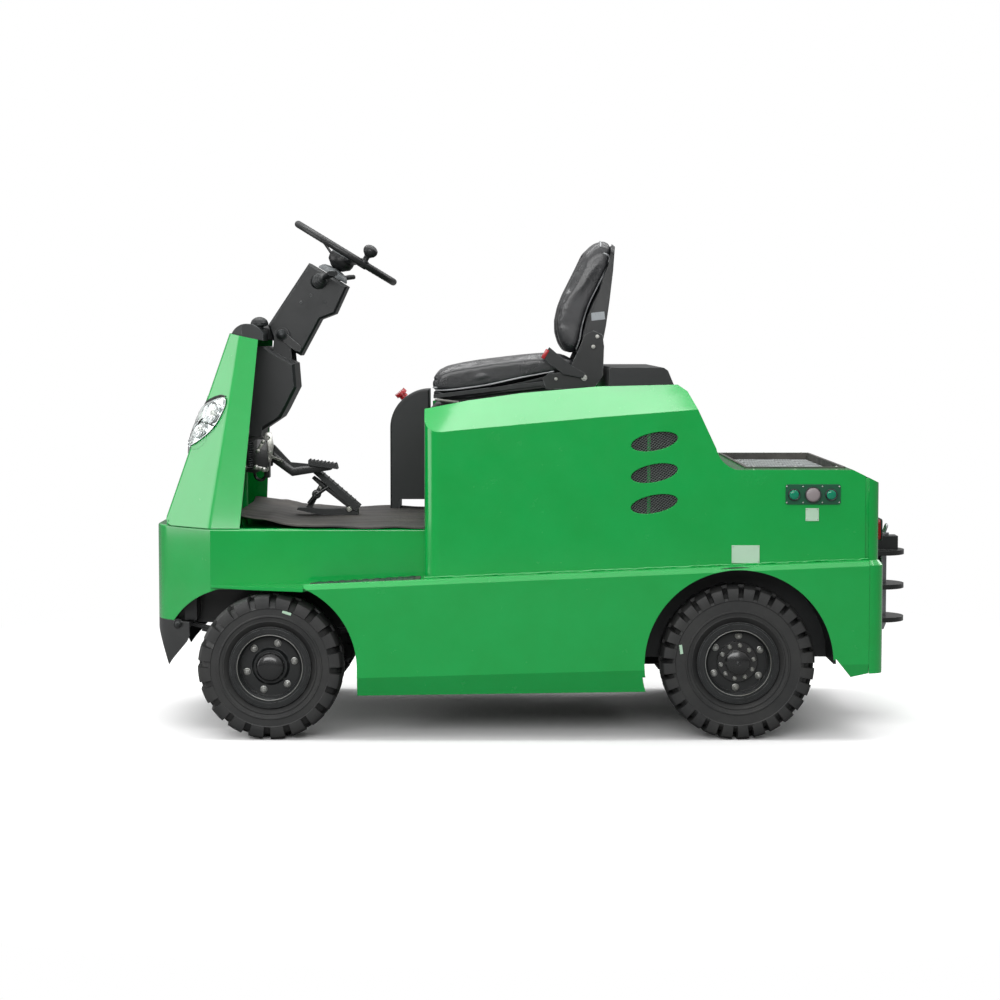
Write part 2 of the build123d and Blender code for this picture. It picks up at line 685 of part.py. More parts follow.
# Towing hitch: back plate with gussets, three jaw plates, latch housing, drop pin
PIN_R = 15.0
PIN_CLEARANCE = 1.0
JAW_HEIGHTS = (313.0, 419.0, 528.0)
JAW_T = 15.0
JAW_HALF_WIDTH = 90.0
HITCH_X = REAR_X + GAP
LATCH_T = 44.0
LATCH_Z = JAW_HEIGHTS[2] + JAW_T / 2 + LATCH_T / 2
with BuildPart() as tow_hitch:
    with BuildSketch(Plane.YZ.offset(HITCH_X)):
        with Locations((0, (JAW_HEIGHTS[0] + JAW_HEIGHTS[2]) / 2 + 4)):
            RectangleRounded(2 * JAW_HALF_WIDTH + 60, JAW_HEIGHTS[2] - JAW_HEIGHTS[0] + 115, 14)
    extrude(amount=12)
    for height in JAW_HEIGHTS:
        with BuildSketch(Plane.XY.offset(height - JAW_T / 2)):
            with BuildLine():
                mouth = ThreePointArc(
                    (PIN_X + 10, JAW_HALF_WIDTH),
                    (PIN_X + JAW_NOSE, 0),
                    (PIN_X + 10, -JAW_HALF_WIDTH),
                )
                Polyline(mouth @ 1, (HITCH_X, -JAW_HALF_WIDTH), (HITCH_X, JAW_HALF_WIDTH), mouth @ 0)
            make_face()
        extrude(amount=JAW_T)
    for side in (-1, 1):
        extrude(
            side_face(
                (HITCH_X, JAW_HEIGHTS[0]),
                (HITCH_X + 34, JAW_HEIGHTS[0]),
                (HITCH_X + 34, JAW_HEIGHTS[2]),
                (HITCH_X, JAW_HEIGHTS[2]),
                y=side * (JAW_HALF_WIDTH - 5),
            ),
            amount=5,
            both=True,
        )
    with Locations(((HITCH_X + PIN_X + 46) / 2, 0, LATCH_Z)):
        Box(PIN_X + 46 - HITCH_X, 70, LATCH_T)
    with Locations((PIN_X, 0, (JAW_HEIGHTS[0] + LATCH_Z) / 2)):
        Cylinder(PIN_R + PIN_CLEARANCE, LATCH_Z - JAW_HEIGHTS[0] + 200, mode=Mode.SUBTRACT)
keep(tow_hitch, "tow_hitch")

PIN_LOW_Z = JAW_HEIGHTS[0] - 39.0
PIN_HEAD_Z = LATCH_Z + LATCH_T / 2 + GAP
BAIL_R = 4.0
BAIL_HALF = 15.0
with BuildPart() as tow_pin:
    with BuildSketch(Plane.XZ):
        with BuildLine():
            Polyline(
                (PIN_X, PIN_LOW_Z),
                (PIN_X + 8, PIN_LOW_Z),
                (PIN_X + PIN_R, PIN_LOW_Z + 18),
                (PIN_X + PIN_R, PIN_HEAD_Z),
                (PIN_X + PIN_R + 7, PIN_HEAD_Z),
                (PIN_X + PIN_R + 7, PIN_HEAD_Z + 8),
                (PIN_X, PIN_HEAD_Z + 8),
                close=True,
            )
        make_face()
    revolve(axis=Axis((PIN_X, 0, 0), (0, 0, 1)))
    with BuildLine() as bail:
        FilletPolyline(
            (PIN_X + 4, -BAIL_HALF, PIN_HEAD_Z + 4),
            (PIN_X + 14, -BAIL_HALF, PIN_HEAD_Z + 34),
            (PIN_X + 14, BAIL_HALF, PIN_HEAD_Z + 34),
            (PIN_X + 4, BAIL_HALF, PIN_HEAD_Z + 4),
            radius=10,
        )
    with BuildSketch(Plane(origin=bail.line @ 0, z_dir=bail.line % 0)):
        Circle(BAIL_R)
    sweep(path=bail.line)
keep(tow_pin, "tow_pin")

# Front springs: leaves on common bending centres, the longest with an eye at each end
SPRING_Y = 225.0
LEAF_W = 44.0
LEAF_T = 8.0
LEAF_REACH = 305.0
LEAF_EYE_RISE = 45.0
LEAF_LENGTHS = (LEAF_REACH, 240.0, 180.0, 120.0)
EYE_R = 15.0
EYE_PIN_R = 8.0
AXLE_Z = FRONT_WHEEL_R - 8.0
AXLE_H = 60.0
SPRING_Z = FRONT_WHEEL_R + 62.0
LEAF_BEND_R = (LEAF_REACH**2 + LEAF_EYE_RISE**2) / (2 * LEAF_EYE_RISE)
LEAF_LOW_Z = SPRING_Z - (len(LEAF_LENGTHS) - 1) * (LEAF_T + GAP) - LEAF_T / 2
with BuildPart() as leaf_spring:
    for index, reach in enumerate(LEAF_LENGTHS):
        bend_r = LEAF_BEND_R + index * (LEAF_T + GAP)
        bend = asin(reach / bend_r)
        with BuildSketch(Plane.XZ.offset(SPRING_Y)):
            with BuildLine():
                top, low = [
                    CenterArc(
                        (FRONT_WHEEL_X, SPRING_Z + LEAF_BEND_R),
                        bend_r + half,
                        270 - bend * 57.29578,
                        2 * bend * 57.29578,
                    )
                    for half in (-LEAF_T / 2, LEAF_T / 2)
                ]
                Line(top @ 0, low @ 0)
                Line(top @ 1, low @ 1)
            make_face()
            if index == 0:
                eyes = [(FRONT_WHEEL_X + side * LEAF_REACH, SPRING_Z + LEAF_EYE_RISE) for side in (-1, 1)]
                with Locations(*eyes):
                    Circle(EYE_R)
                    Circle(EYE_PIN_R, mode=Mode.SUBTRACT)
        extrude(amount=LEAF_W / 2, both=True)
keep_pair(leaf_spring, "leaf_spring")

# Chassis: two rails, cross members, outriggers, and the brackets that hold the spring eyes
FRAME_IN = 130.0
FRAME_OUT = 190.0
FRAME_LOW_Z = 300.0
FRAME_HIGH_Z = 430.0
REAR_FRAME_HIGH_Z = 480.0
REAR_FRAME_LOW_Z = 360.0
BATTERY_FRAME_LOW_Z = 240.0
HANGER_T = 6.0
HANGER_OUT = SPRING_Y + LEAF_W / 2 + GAP + HANGER_T
HANGER_IN = SPRING_Y - LEAF_W / 2 - GAP
EYE_Z = SPRING_Z + LEAF_EYE_RISE
FRAME_REAR_X = REAR_X - SHEET - GAP
# Columns: x, lower z, upper z, half length
CROSS_MEMBERS = [
    (FRONT_WHEEL_X - 269, NOSE_EDGE_Z + GAP, FRAME_HIGH_Z, 290.0),
    (FRONT_WHEEL_X + 351, BATTERY_FRAME_LOW_Z, FRAME_HIGH_Z, 500.0),
    (SLOPE_TOP_X - 174, BATTERY_FRAME_LOW_Z, FRAME_HIGH_Z, 500.0),
    (REAR_WHEEL_X + 323, REAR_FRAME_LOW_Z + 20, REAR_FRAME_HIGH_Z, 500.0),
]
with BuildPart() as chassis_frame:
    for side in (-1, 1):
        extrude(
            side_face(
                (FRONT_WHEEL_X - 259, FRAME_LOW_Z + 20),
                (FRONT_WHEEL_X - 259, FRAME_HIGH_Z),
                (REAR_WHEEL_X - 157, FRAME_HIGH_Z),
                (REAR_WHEEL_X - 87, REAR_FRAME_HIGH_Z),
                (FRAME_REAR_X, REAR_FRAME_HIGH_Z),
                (FRAME_REAR_X, REAR_FRAME_LOW_Z),
                (REAR_WHEEL_X - 87, REAR_FRAME_LOW_Z),
                (REAR_WHEEL_X - 177, BATTERY_FRAME_LOW_Z),
                (FRONT_WHEEL_X + 391, BATTERY_FRAME_LOW_Z),
                (FRONT_WHEEL_X + 291, FRAME_LOW_Z),
                y=side * (FRAME_IN + FRAME_OUT) / 2,
            ),
            amount=(FRAME_OUT - FRAME_IN) / 2,
            both=True,
        )
        for end in (-1, 1):
            eye_x = FRONT_WHEEL_X + end * LEAF_REACH
            bracket = [
                (eye_x + end * 20, EYE_Z + 69),
                (eye_x + end * 20, EYE_Z - 20),
                (eye_x + end * 8, EYE_Z - 34),
                (eye_x - end * 14, EYE_Z - 34),
                (eye_x - end * 34, EYE_Z - 8),
                (eye_x - end * 53, EYE_Z + 20),
                (eye_x - end * 53, EYE_Z + 69),
            ]
            extrude(side_face(*bracket, y=side * HANGER_IN), amount=side * (HANGER_IN - FRAME_OUT + 1))
            extrude(side_face(*bracket, y=side * HANGER_OUT), amount=side * HANGER_T)
            with Locations((eye_x - end * 16, side * (FRAME_OUT + HANGER_OUT) / 2, EYE_Z + 49)):
                Box(70, HANGER_OUT - FRAME_OUT, 40)
            with Locations((eye_x, side * (HANGER_IN + HANGER_OUT) / 2, EYE_Z)):
                Cylinder(EYE_PIN_R - GAP, HANGER_OUT - HANGER_IN, rotation=(90, 0, 0))
    for x, low, high, half_length in CROSS_MEMBERS:
        with Locations((x, 0, (low + high) / 2)):
            Box(38, 2 * half_length, high - low)
    with Locations(((SEAT_BOX_X + SLOPE_TOP_X) / 2 - 145, 0, BATTERY_FRAME_LOW_Z + 6)):
        Box(700, 2 * FRAME_OUT, 12)
keep(chassis_frame, "chassis_frame")

# Battery, one plain block on the frame
BATTERY_X = (SEAT_BOX_X + SLOPE_TOP_X) / 2 - 40.0
with BuildPart() as battery_block:
    with Locations((BATTERY_X, 0, FRAME_HIGH_Z + GAP + 230)):
        Box(520, 700, 460)
keep(battery_block, "battery_block")

# Wheel arch liners: curved shell and inner web round each rear wheel, wall behind each front wheel
LINER_Y = 388.0
LINER_OUT = SKIRT_Y - SHEET - GAP
AXLE_OPENING_R = 90.0
FRONT_WALL_LOW_Z = 200.0
with BuildPart() as arch_liner:
    with BuildSketch(Plane.XZ.offset(LINER_Y)):
        with Locations((REAR_WHEEL_X, REAR_WHEEL_R)):
            Circle(REAR_ARCH_R + SHEET)
            Circle(REAR_ARCH_R, mode=Mode.SUBTRACT)
            with Locations((0, -REAR_ARCH_R)):
                Rectangle(3 * REAR_ARCH_R, 2 * REAR_ARCH_R, mode=Mode.SUBTRACT)
    extrude(amount=LINER_OUT - LINER_Y)
    with BuildSketch(Plane.XZ.offset(LINER_Y - SHEET)):
        with Locations((REAR_WHEEL_X, REAR_WHEEL_R)):
            Circle(REAR_ARCH_R + SHEET)
            Circle(AXLE_OPENING_R, mode=Mode.SUBTRACT)
            with Locations((0, -REAR_ARCH_R)):
                Rectangle(3 * REAR_ARCH_R, 2 * REAR_ARCH_R, mode=Mode.SUBTRACT)
    extrude(amount=SHEET)
    wall_x = SKIRT_FRONT_X + 27
    with Locations((wall_x, -(LINER_OUT + KINGPIN_Y) / 2 + 6, (FRONT_WALL_LOW_Z + SIDE_EDGE_Z - GAP) / 2)):
        Box(SHEET, LINER_OUT - KINGPIN_Y - 12, SIDE_EDGE_Z - GAP - FRONT_WALL_LOW_Z)
keep_pair(arch_liner, "arch_liner")

# Front axle beam with its kingpins and spring seats
BOSS_R = 26.0
BOSS_HALF = 44.0
SEAT_LENGTH = 110.0
with BuildPart() as front_axle:
    with BuildSketch(Plane.XZ):
        with Locations((FRONT_WHEEL_X, AXLE_Z)):
            Rectangle(70, AXLE_H)
            Rectangle(36, AXLE_H - 24, mode=Mode.SUBTRACT)
            Rectangle(10, AXLE_H - 10)
    extrude(amount=KINGPIN_Y - 20, both=True)
    for side in (-1, 1):
        with Locations((FRONT_WHEEL_X, side * SPRING_Y, (AXLE_Z + LEAF_LOW_Z - GAP) / 2)):
            Box(SEAT_LENGTH, LEAF_W + 8, LEAF_LOW_Z - GAP - AXLE_Z)
        with Locations((FRONT_WHEEL_X, side * (KINGPIN_Y - 36), AXLE_Z)):
            Box(70, 50, AXLE_H)
        with Locations((FRONT_WHEEL_X, side * KINGPIN_Y, FRONT_WHEEL_R)):
            Cylinder(BOSS_R, 2 * BOSS_HALF)
            Cylinder(KINGPIN_R, 2 * BOSS_HALF + 36)
keep(front_axle, "front_axle")

# Knuckles: yoke round the axle's boss, stub shaft, steering arm with the hole for the rod's stud
YOKE_T = 16.0
YOKE_GAP = 1.0
STUD_R = 8.0
ARM_Z = FRONT_WHEEL_R - BOSS_HALF - YOKE_GAP - YOKE_T
with BuildPart() as knuckle:
    for low_z in (ARM_Z, FRONT_WHEEL_R + BOSS_HALF + YOKE_GAP):
        with BuildSketch(Plane.XY.offset(low_z)):
            with Locations((FRONT_WHEEL_X, -KINGPIN_Y - 20)):
                SlotOverall(90, 60, rotation=90)
            with Locations((FRONT_WHEEL_X, -KINGPIN_Y)):
                Circle(KINGPIN_R + SHAFT_CLEARANCE, mode=Mode.SUBTRACT)
        extrude(amount=YOKE_T)
    with Locations((FRONT_WHEEL_X, -KINGPIN_Y - 42, FRONT_WHEEL_R)):
        Box(60, 20, 2 * (BOSS_HALF + YOKE_GAP + YOKE_T))
    with Locations((FRONT_WHEEL_X, -KINGPIN_Y - 90, FRONT_WHEEL_R)):
        Cylinder(SHAFT_R, 90, rotation=(90, 0, 0))
    with BuildSketch(Plane.XY.offset(ARM_Z)):
        with Locations((FRONT_WHEEL_X + STEERING_ARM / 2 + 10, -KINGPIN_Y)):
            SlotOverall(STEERING_ARM + 20, 32)
        with Locations((FRONT_WHEEL_X, -KINGPIN_Y)):
            Circle(KINGPIN_R + SHAFT_CLEARANCE, mode=Mode.SUBTRACT)
        with Locations((FRONT_WHEEL_X + STEERING_ARM, -KINGPIN_Y)):
            Circle(STUD_R + SHAFT_CLEARANCE, mode=Mode.SUBTRACT)
    extrude(amount=YOKE_T)
    with Locations((FRONT_WHEEL_X, -KINGPIN_Y, FRONT_WHEEL_R)):
        Cylinder(KINGPIN_R + SHAFT_CLEARANCE, 4 * BOSS_HALF, mode=Mode.SUBTRACT)
keep_pair(knuckle, "knuckle")

# Tie rod: tube with a ball-joint housing and stud at each end
ROD_R = 11.0
HOUSING_R = 17.0
HOUSING_T = 26.0
ROD_Z = ARM_Z - GAP - HOUSING_T / 2
with BuildPart() as tie_rod:
    with Locations((FRONT_WHEEL_X + STEERING_ARM, 0, ROD_Z)):
        Cylinder(ROD_R, 2 * KINGPIN_Y - 20, rotation=(90, 0, 0))
    for side in (-1, 1):
        with Locations((FRONT_WHEEL_X + STEERING_ARM, side * KINGPIN_Y, ROD_Z)):
            Cylinder(HOUSING_R, HOUSING_T)
        with Locations((FRONT_WHEEL_X + STEERING_ARM, side * KINGPIN_Y, ROD_Z + HOUSING_T / 2 + YOKE_T / 2)):
            Cylinder(STUD_R, YOKE_T + 2)
keep(tie_rod, "tie_rod")

# Rear drive axle: tapered tubes, differential housing, motor, saddles under the frame
DIFF_R = 125.0
TUBE_R = 52.0
MOTOR_R = 95.0
HUB_FACE_Y = WHEEL_FACE_Y - REAR_TYRE_W + 12.0
with BuildPart() as rear_axle:
    with BuildSketch(Plane.XY.offset(REAR_WHEEL_R)):
        with BuildLine():
            Polyline(
                (REAR_WHEEL_X, -HUB_FACE_Y + 32),
                (REAR_WHEEL_X + TUBE_R, -HUB_FACE_Y + 32),
                (REAR_WHEEL_X + TUBE_R, -130),
                (REAR_WHEEL_X + DIFF_R, -60),
                (REAR_WHEEL_X + DIFF_R, 60),
                (REAR_WHEEL_X + TUBE_R, 130),
                (REAR_WHEEL_X + TUBE_R, HUB_FACE_Y - 32),
                (REAR_WHEEL_X, HUB_FACE_Y - 32),
                close=True,
            )
        make_face()
    revolve(axis=Axis((REAR_WHEEL_X, 0, REAR_WHEEL_R), (0, 1, 0)))
    with Locations((REAR_WHEEL_X, 0, REAR_WHEEL_R)):
        Cylinder(SHAFT_R, 2 * (WHEEL_FACE_Y - 50), rotation=(90, 0, 0))
    with Locations((REAR_WHEEL_X - 200, 0, REAR_WHEEL_R + 20)):
        Cylinder(MOTOR_R, 260, rotation=(0, 90, 0))
    for side in (-1, 1):
        with Locations((REAR_WHEEL_X, side * 160, (REAR_WHEEL_R + REAR_FRAME_LOW_Z) / 2)):
            Box(120, 56, REAR_FRAME_LOW_Z - REAR_WHEEL_R)
keep(rear_axle, "rear_axle")

# Rims and tyres
# Columns: name, axle x, radius, tyre width, lugs, lug depth, lug reach, disc depth, hub radius
WHEELS = [
    ("front", FRONT_WHEEL_X, FRONT_WHEEL_R, FRONT_TYRE_W, 20, 13.0, 48.0, 40.0, 43.0),
    ("rear", REAR_WHEEL_X, REAR_WHEEL_R, REAR_TYRE_W, 28, 20.0, 44.0, 44.0, 36.0),
]
LUG_SHARE = 0.66
for name, wheel_x, wheel_r, width, lugs, lug_depth, lug_reach, disc_depth, hub_r in WHEELS:
    half = width / 2
    centre = (wheel_x, -WHEEL_FACE_Y + half, wheel_r)
    profile_plane = Plane(origin=centre, x_dir=(1, 0, 0), z_dir=(0, 0, -1))
    spin_axis = Axis(centre, (0, 1, 0))
    root_r = wheel_r - lug_depth
    lug_width = LUG_SHARE * 2 * 3.14159 * root_r / lugs
    with BuildPart() as tyre:
        with BuildSketch(profile_plane):
            with BuildLine():
                Polyline(
                    (BORE_R + GAP, -half + 15),
                    (BORE_R + GAP, half - 15),
                    (FLANGE_R + 2, half - 12),
                    (FLANGE_R + 4, half - 6),
                    (FLANGE_R + 20, half),
                    (root_r - 12, half),
                    (root_r, half - 14),
                    (root_r, half - lug_reach),
                    (wheel_r, half - lug_reach),
                    (wheel_r, -half + lug_reach),
                    (root_r, -half + lug_reach),
                    (root_r, -half + 14),
                    (root_r - 12, -half),
                    (FLANGE_R + 20, -half),
                    (FLANGE_R + 4, -half + 6),
                    (FLANGE_R + 2, -half + 12),
                    close=True,
                )
            make_face()
        revolve(axis=spin_axis)
        for side in (-1, 1):
            for index in range(lugs):
                turn = (index + 0.25 * side) * 360 / lugs
                lug_plane = profile_plane.rotated((0, turn, 0))
                with BuildSketch(lug_plane.offset(-lug_width / 2)):
                    with BuildLine():
                        Polyline(
                            (root_r - 14, side * half),
                            (wheel_r - 14, side * half),
                            (wheel_r - 3, side * (half - 9)),
                            (wheel_r, side * (half - 24)),
                            (wheel_r, side * (half - lug_reach - 1)),
                            (root_r - 6, side * (half - lug_reach - 1)),
                            (root_r - 14, side * (half - 14)),
                            close=True,
                        )
                    make_face()
                extrude(amount=lug_width)
    keep_pair(tyre, f"tyre_{name}")

    with BuildPart() as rim:
        with BuildSketch(profile_plane):
            with BuildLine():
                Polyline(
                    (BORE_R, -half + 14),
                    (BORE_R, half - 14),
                    (FLANGE_R, half - 11),
                    (FLANGE_R, half - 3),
                    (BORE_R - 2, half - 3),
                    (BORE_R - 9, half - 12),
                    (BORE_R - 9, half - disc_depth),
                    (58, half - disc_depth),
                    (50, half - disc_depth + 10),
                    (hub_r, half - disc_depth + 10),
                    (hub_r, half - 20),
                    (hub_r - 10, half - 8),
                    (0, half - 4),
                    (0, half - 26),
                    (SHAFT_R + SHAFT_CLEARANCE, half - 26),
                    (SHAFT_R + SHAFT_CLEARANCE, half - disc_depth - 34),
                    (hub_r, half - disc_depth - 34),
                    (hub_r + 6, half - disc_depth - 12),
                    (BORE_R - 9, half - disc_depth - 12),
                    (BORE_R - 9, -half + 10),
                    (BORE_R - 2, -half + 3),
                    (FLANGE_R, -half + 3),
                    (FLANGE_R, -half + 11),
                    close=True,
                )
            make_face()
        revolve(axis=spin_axis)
    keep_pair(rim, f"rim_{name}")

# Floor mat
MAT_T = 7.0
MAT_FRONT_X = FRONT_WHEEL_X - 43.0
MAT_OVERHANG = 4.0
with BuildPart() as floor_mat:
    extrude(
        plan_face(
            (MAT_FRONT_X, -FLOOR_Y + 120),
            (MAT_FRONT_X + 64, -FLOOR_Y + 6),
            (MAT_FRONT_X + 120, -FLOOR_Y - MAT_OVERHANG),
            (SEAT_BOX_X - 2, -FLOOR_Y - MAT_OVERHANG),
            (SEAT_BOX_X - 2, FLOOR_Y + MAT_OVERHANG),
            (MAT_FRONT_X + 120, FLOOR_Y + MAT_OVERHANG),
            (MAT_FRONT_X + 64, FLOOR_Y - 6),
            (MAT_FRONT_X, FLOOR_Y - 120),
            z=FLOOR_Z + GAP,
        ),
        amount=MAT_T,
    )
keep(floor_mat, "floor_mat")
MAT_TOP = FLOOR_Z + GAP + MAT_T

# Pedal gear: steering gear cover on the floor, ribbed boot up to the column, brake bracket
PEDAL_Y = -40.0
ACCELERATOR_Y = 60.0
BOOT_X = FRONT_WHEEL_X - 94.0
BOOT_LOW_Z = 800.0
SHROUD_LOW_Z = 905.0
BOOT_RIBS = 5
BOOT_RIB_R = 36.0
BOOT_GROOVE_R = 28.0
BRACKET_X = FRONT_WHEEL_X - 41.0
with BuildPart() as brake_unit:
    with BuildSketch(Plane.XY.offset(FLOOR_Z + GAP)):
        with Locations((BOOT_X - 4, 0)):
            Rectangle(96, 190)
    with BuildSketch(Plane.XY.offset(BOOT_LOW_Z)):
        with Locations((BOOT_X + 4, -14)):
            Rectangle(84, 130)
    loft(ruled=True)
    rib_h = (SHROUD_LOW_Z - GAP - BOOT_LOW_Z) / BOOT_RIBS
    ribs = [(BOOT_X, BOOT_LOW_Z - 2), (BOOT_X + BOOT_GROOVE_R, BOOT_LOW_Z - 2)]
    for index in range(BOOT_RIBS):
        foot_z = BOOT_LOW_Z + index * rib_h
        ribs += [(BOOT_X + BOOT_GROOVE_R, foot_z), (BOOT_X + BOOT_RIB_R, foot_z + rib_h / 2)]
    ribs += [(BOOT_X + BOOT_GROOVE_R, SHROUD_LOW_Z - GAP), (BOOT_X, SHROUD_LOW_Z - GAP)]
    with BuildSketch(Plane.XZ):
        with BuildLine():
            Polyline(*ribs, close=True)
        make_face()
    revolve(axis=Axis((BOOT_X, 0, 0), (0, 0, 1)))
    with Locations((BRACKET_X - 9, PEDAL_Y, SHROUD_LOW_Z - 2 - 67)):
        Box(18, 48, 134)
keep(brake_unit, "brake_unit")

# Brake pedal: cranked arm and ridged pad
PEDAL_W = 72.0
with BuildPart() as brake_pedal:
    extrude(
        side_face(
            (BRACKET_X + GAP, 874),
            (BRACKET_X + 14, 874),
            (BRACKET_X + 66, 818),
            (BRACKET_X + 130, 812),
            (BRACKET_X + 130, 798),
            (BRACKET_X + 58, 801),
            (BRACKET_X + GAP, 846),
            y=PEDAL_Y,
        ),
        amount=8,
        both=True,
    )
    extrude(
        side_face(
            (BRACKET_X + 124, 826),
            (BRACKET_X + 214, 813),
            (BRACKET_X + 218, 797),
            (BRACKET_X + 124, 810),
            y=PEDAL_Y,
        ),
        amount=PEDAL_W / 2,
        both=True,
    )
keep(brake_pedal, "brake_pedal")

# Accelerator: treadle on its strut, and the base it pivots on
BASE_X = FRONT_WHEEL_X + 236.0
BASE_Z = MAT_TOP + GAP
with BuildPart() as accelerator_pedal:
    extrude(
        side_face(
            (BASE_X - 147, 782),
            (BASE_X - 131, 792),
            (BASE_X + 8, BASE_Z + 30),
            (BASE_X - 5, BASE_Z + 11),
            y=ACCELERATOR_Y,
        ),
        amount=38,
        both=True,
    )
    extrude(
        side_face(
            (BASE_X - 195, BASE_Z + 25),
            (BASE_X - 115, BASE_Z + 20),
            (BASE_X, BASE_Z + 20),
            (BASE_X, BASE_Z),
            (BASE_X - 125, BASE_Z),
            (BASE_X - 199, BASE_Z + 17),
            y=ACCELERATOR_Y,
        ),
        amount=30,
        both=True,
    )
    extrude(
        side_face(
            (BASE_X - 125, 744),
            (BASE_X - 107, 748),
            (BASE_X - 155, BASE_Z + 14),
            (BASE_X - 175, BASE_Z + 16),
            y=ACCELERATOR_Y,
        ),
        amount=12,
        both=True,
    )
keep(accelerator_pedal, "accelerator_pedal")

# Steering column: lower shroud on its bulkhead, with the ears that carry the tilt pin
TILT_X = FRONT_WHEEL_X + 3.0
TILT_Z = 1226.0
TILT_PIN_R = 9.0
EAR_R = 24.0
EAR_T = 10.0
UPPER_HALF = 72.0
EAR_Y = UPPER_HALF + MOVING_GAP
COLUMN_HALF = 110.0
BULKHEAD_X = FRONT_WHEEL_X - 114.0
with BuildPart() as bulkhead:
    loft([cowl_plan(section, COWL_WALL + GAP, 60) for section in COWL_SECTIONS], ruled=True)
    with Locations((BULKHEAD_X, 0, (SHROUD_LOW_Z + COWL_BACK[1]) / 2 - 10)):
        Box(SHEET, 2 * FLOOR_Y, COWL_BACK[1] - SHROUD_LOW_Z - 24, mode=Mode.INTERSECT)

with BuildPart() as column_shroud:
    extrude(
        side_face(
            (BULKHEAD_X, 1190),
            (TILT_X - 50, 1190),
            (TILT_X - 30, 1176),
            (TILT_X + 41, 1136),
            (TILT_X + 47, 1059),
            (TILT_X + 10, 986),
            (TILT_X - 4, 962),
            (TILT_X - 64, 922),
            (TILT_X - 64, SHROUD_LOW_Z),
            (BULKHEAD_X, SHROUD_LOW_Z),
        ),
        amount=COLUMN_HALF,
        both=True,
    )
    chamfer(
        column_shroud.edges().filter_by(
            lambda e: e.center().X > TILT_X - 62 and abs(e.center().Y) > COLUMN_HALF - 1
        ),
        9,
    )
    for side in (-1, 1):
        with BuildSketch(Plane.XZ.offset(-side * EAR_Y)):
            with BuildLine():
                tip = ThreePointArc(
                    (TILT_X - EAR_R, TILT_Z), (TILT_X, TILT_Z + EAR_R), (TILT_X + EAR_R, TILT_Z)
                )
                Polyline(tip @ 1, (TILT_X + 34, 1130), (TILT_X - 34, 1130), tip @ 0)
            make_face()
            with Locations((TILT_X, TILT_Z)):
                Circle(TILT_PIN_R + SHAFT_CLEARANCE, mode=Mode.SUBTRACT)
        extrude(amount=-side * EAR_T)
    add(bulkhead.part)
keep(column_shroud, "column_shroud")

# Upper column: it tilts on the pin, and the steering shaft turns in its bore
WHEEL_TILT = 31.3
WHEEL_CENTRE = (FRONT_WHEEL_X + 202.0, 0.0, 1488.0)
WHEEL_R = 189.0
GRIP_R = 11.5
COLUMN_SHAFT_R = 16.0
SHAFT_BORE_DEPTH = 40.0
COLUMN_FACE = 87.0
axis_x = sin(radians(WHEEL_TILT))
axis_z = cos(radians(WHEEL_TILT))
wheel_plane = Plane(origin=WHEEL_CENTRE, x_dir=(axis_z, 0, -axis_x), z_dir=(axis_x, 0, axis_z))
with BuildPart() as column_upper:
    extrude(
        side_face(
            (TILT_X + 87, 1456),
            (TILT_X + 208, 1381),
            (TILT_X + 168, 1294),
            (TILT_X + 121, 1276),
            (TILT_X + 58, 1160),
            (TILT_X - 30, 1208),
            (TILT_X - 46, 1257),
        ),
        amount=UPPER_HALF,
        both=True,
    )
    with BuildSketch(wheel_plane.offset(-COLUMN_FACE)):
        Rectangle(400, 400)
    extrude(amount=100, mode=Mode.SUBTRACT)
    chamfer(
        column_upper.edges().filter_by(lambda e: abs(e.center().Y) > UPPER_HALF - 1 and e.length > 30), 7
    )
    with BuildSketch(wheel_plane.offset(-COLUMN_FACE)):
        Circle(COLUMN_SHAFT_R + SHAFT_CLEARANCE)
    extrude(amount=-SHAFT_BORE_DEPTH, mode=Mode.SUBTRACT)
    with Locations((TILT_X, 0, TILT_Z)):
        Cylinder(TILT_PIN_R, 2 * (EAR_Y + EAR_T + GAP), rotation=(90, 0, 0))
keep(column_upper, "column_upper")

# Steering wheel: round rim, three dished spokes, hub cover, spinner knob
HUB_R = 40.0
SPOKES = 3
KNOB_X, KNOB_IN_Y = 74.0, -155.0
with BuildPart(wheel_plane) as steering_wheel:
    Torus(WHEEL_R - GRIP_R, GRIP_R)
    with BuildSketch(Plane(origin=WHEEL_CENTRE, x_dir=wheel_plane.x_dir, z_dir=(0, -1, 0))):
        with BuildLine():
            Polyline(
                (0, -8),
                (24, -10),
                (HUB_R, -20),
                (HUB_R + 2, -46),
                (COLUMN_SHAFT_R, -56),
                (COLUMN_SHAFT_R, -COLUMN_FACE - SHAFT_BORE_DEPTH + 2),
                (0, -COLUMN_FACE - SHAFT_BORE_DEPTH + 2),
                close=True,
            )
        make_face()
    revolve(axis=Axis(WHEEL_CENTRE, wheel_plane.z_dir))
    for index in range(SPOKES):
        turn = radians(60 + index * 360 / SPOKES)
        out = wheel_plane.x_dir * cos(turn) + wheel_plane.y_dir * sin(turn)
        with BuildSketch(Plane(origin=WHEEL_CENTRE, x_dir=out, z_dir=out.cross(wheel_plane.z_dir))):
            with BuildLine():
                Polyline(
                    (HUB_R - 8, -24),
                    (HUB_R + 20, -24),
                    (WHEEL_R - 2 * GRIP_R + 2, 4),
                    (WHEEL_R - GRIP_R, 4),
                    (WHEEL_R - GRIP_R, -6),
                    (WHEEL_R - 2 * GRIP_R, -6),
                    (HUB_R + 20, -36),
                    (HUB_R - 8, -36),
                    close=True,
                )
            make_face()
        extrude(amount=14, both=True)
    with Locations((KNOB_X, KNOB_IN_Y, GRIP_R + 10)):
        Cylinder(7, 34)
    with Locations((KNOB_X, KNOB_IN_Y, GRIP_R + 36)):
        Sphere(18)
keep(steering_wheel, "steering_wheel")

